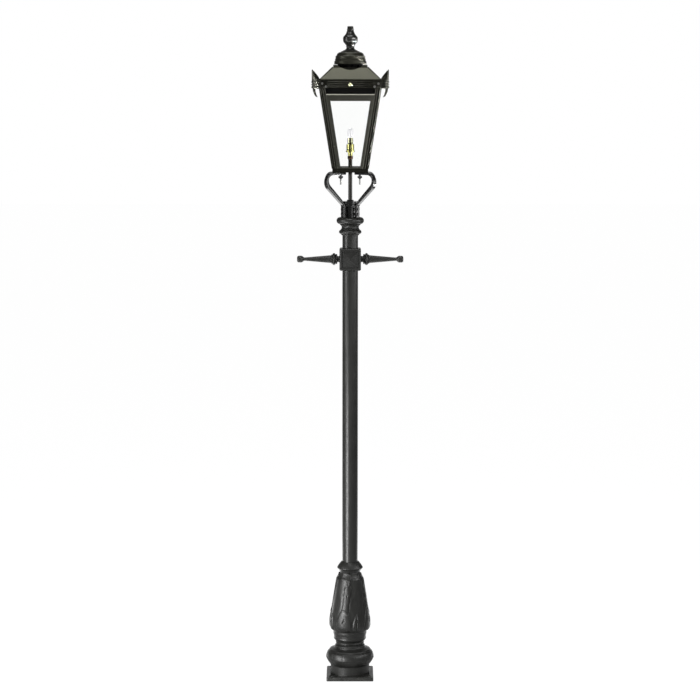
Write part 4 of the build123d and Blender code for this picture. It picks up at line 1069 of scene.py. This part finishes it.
# Lantern body: beaded corner posts, the wing nuts under the tray and a bead on each head rail
post = {
    "lean": 66 / 417, "chamfer": 12, "chamferBow": 1.2, "groove": 4.7, "grooveWidth": 4.6, "bead": 6.8,
    "beadIn": 1.2, "leg": 35, "thick": 5, "core": 11,
}


def buildPost(name, node, turn):
    q = post
    low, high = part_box("corner_post_front_left")
    foot, head = low[2] / mm, high[2] / mm
    place = q["chamfer"]
    leg = [(place, 0)]
    while place + q["grooveWidth"] + q["bead"] < q["leg"]:
        leg.append((place + q["grooveWidth"] / 2, q["groove"]))
        place += q["grooveWidth"]
        leg += [(place, q["beadIn"]), (place + q["bead"], q["beadIn"], q["beadIn"])]
        place += q["bead"]
    leg += [(q["leg"], q["thick"]), (q["core"], q["thick"])]
    side = lathePath(leg, 8)
    corner = lathePath([(0, q["chamfer"]), (q["chamfer"], 0, q["chamferBow"])], 8)[:-1]
    outline = [(p.x, p.z) for p in corner + side] + [(q["core"], q["core"])]
    outline += [(p.z, p.x) for p in reversed(side[1:])]
    loops = []
    for height in (foot, head):
        reach = low[0] / mm + q["lean"] * (head - height)
        loops.append([(reach + x, reach + y, height) for x, y in outline])
    bm = bmesh.new()
    for end in ringBand(bm, loops):
        bmesh.ops.contextual_create(bm, geom=end)
    bmesh.ops.rotate(bm, verts=bm.verts, cent=(0, 0, 0), matrix=Matrix.Rotation(radians(turn), 3, "Z"))
    finished(name, bm, "lantern_paint", "post", [node], sharp=25)


for corner, turn in (("front_right", 90), ("back_right", 180), ("back_left", 270), ("front_left", 0)):
    buildPost(pieceName("beadedPost", corner), f"corner_post_{corner}", turn)

wingNut = {
    "hub": 6.3, "bore": 4.1, "thick": 3.4, "round": 0.8,
    "wing": ((4.5, 3.5), (12.6, 6.5), (12.8, 12.5), (10.5, 14.5), (4.5, 10)),
}


def buildWingNut(name, node):
    n = wingNut
    low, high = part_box(node)
    middle = (Vector(low) + Vector(high)) / 2
    foot, head = low[2] / mm, high[2] / mm
    bm = turned([
        (n["bore"], foot), (n["hub"] - 1.5, foot), (n["hub"], foot + 4, 0.5), (n["hub"], head - 1),
        (n["hub"] - 0.8, head), (n["bore"], head), (n["bore"], foot),
    ], 24)
    for hand in (1, -1):
        outline = [(hand * x, foot + rise) for x, rise in n["wing"]]
        slabOf(bm, outline, Matrix.Identity(4), n["thick"], n["round"])
    bmesh.ops.translate(bm, verts=bm.verts, vec=(middle.x, middle.y, 0))
    finished(name, bm, "bolt_steel", node, [node], look=finishes["dark_steel"])


for corner in ("front_right", "back_right", "back_left", "front_left"):
    buildWingNut(pieceName("wingNut", corner), f"wing_nut_{corner}")

headBead = {"half": 134, "low": 3352.4, "high": 3358.6, "front": 169.6, "depth": 5, "slope": 3.2, "round": 0.5}


def buildHeadBeads():
    h = headBead
    middle = (h["low"] + h["high"]) / 2
    back = h["front"] - h["depth"]
    top = h["front"] - h["slope"]
    section = [(back, h["low"]), (h["front"], h["low"]), (top, h["high"]), (back, h["high"])]
    section = [(x, z - middle) for x, z in section]
    bm = bmesh.new()
    for quarter in range(4):
        side = bmesh.new()
        slabOf(side, section, Matrix.Translation((0, 0, middle * mm)), 2 * h["half"], h["round"])
        for angle in (-pi / 2, quarter * pi / 2):
            bmesh.ops.rotate(side, verts=side.verts, cent=(0, 0, 0), matrix=Matrix.Rotation(angle, 3, "Z"))
        joinMesh(bm, side)
    finished("headBeads", bm, "lantern_paint", "post", sharp=8)


buildHeadBeads()
print("lantern body done")
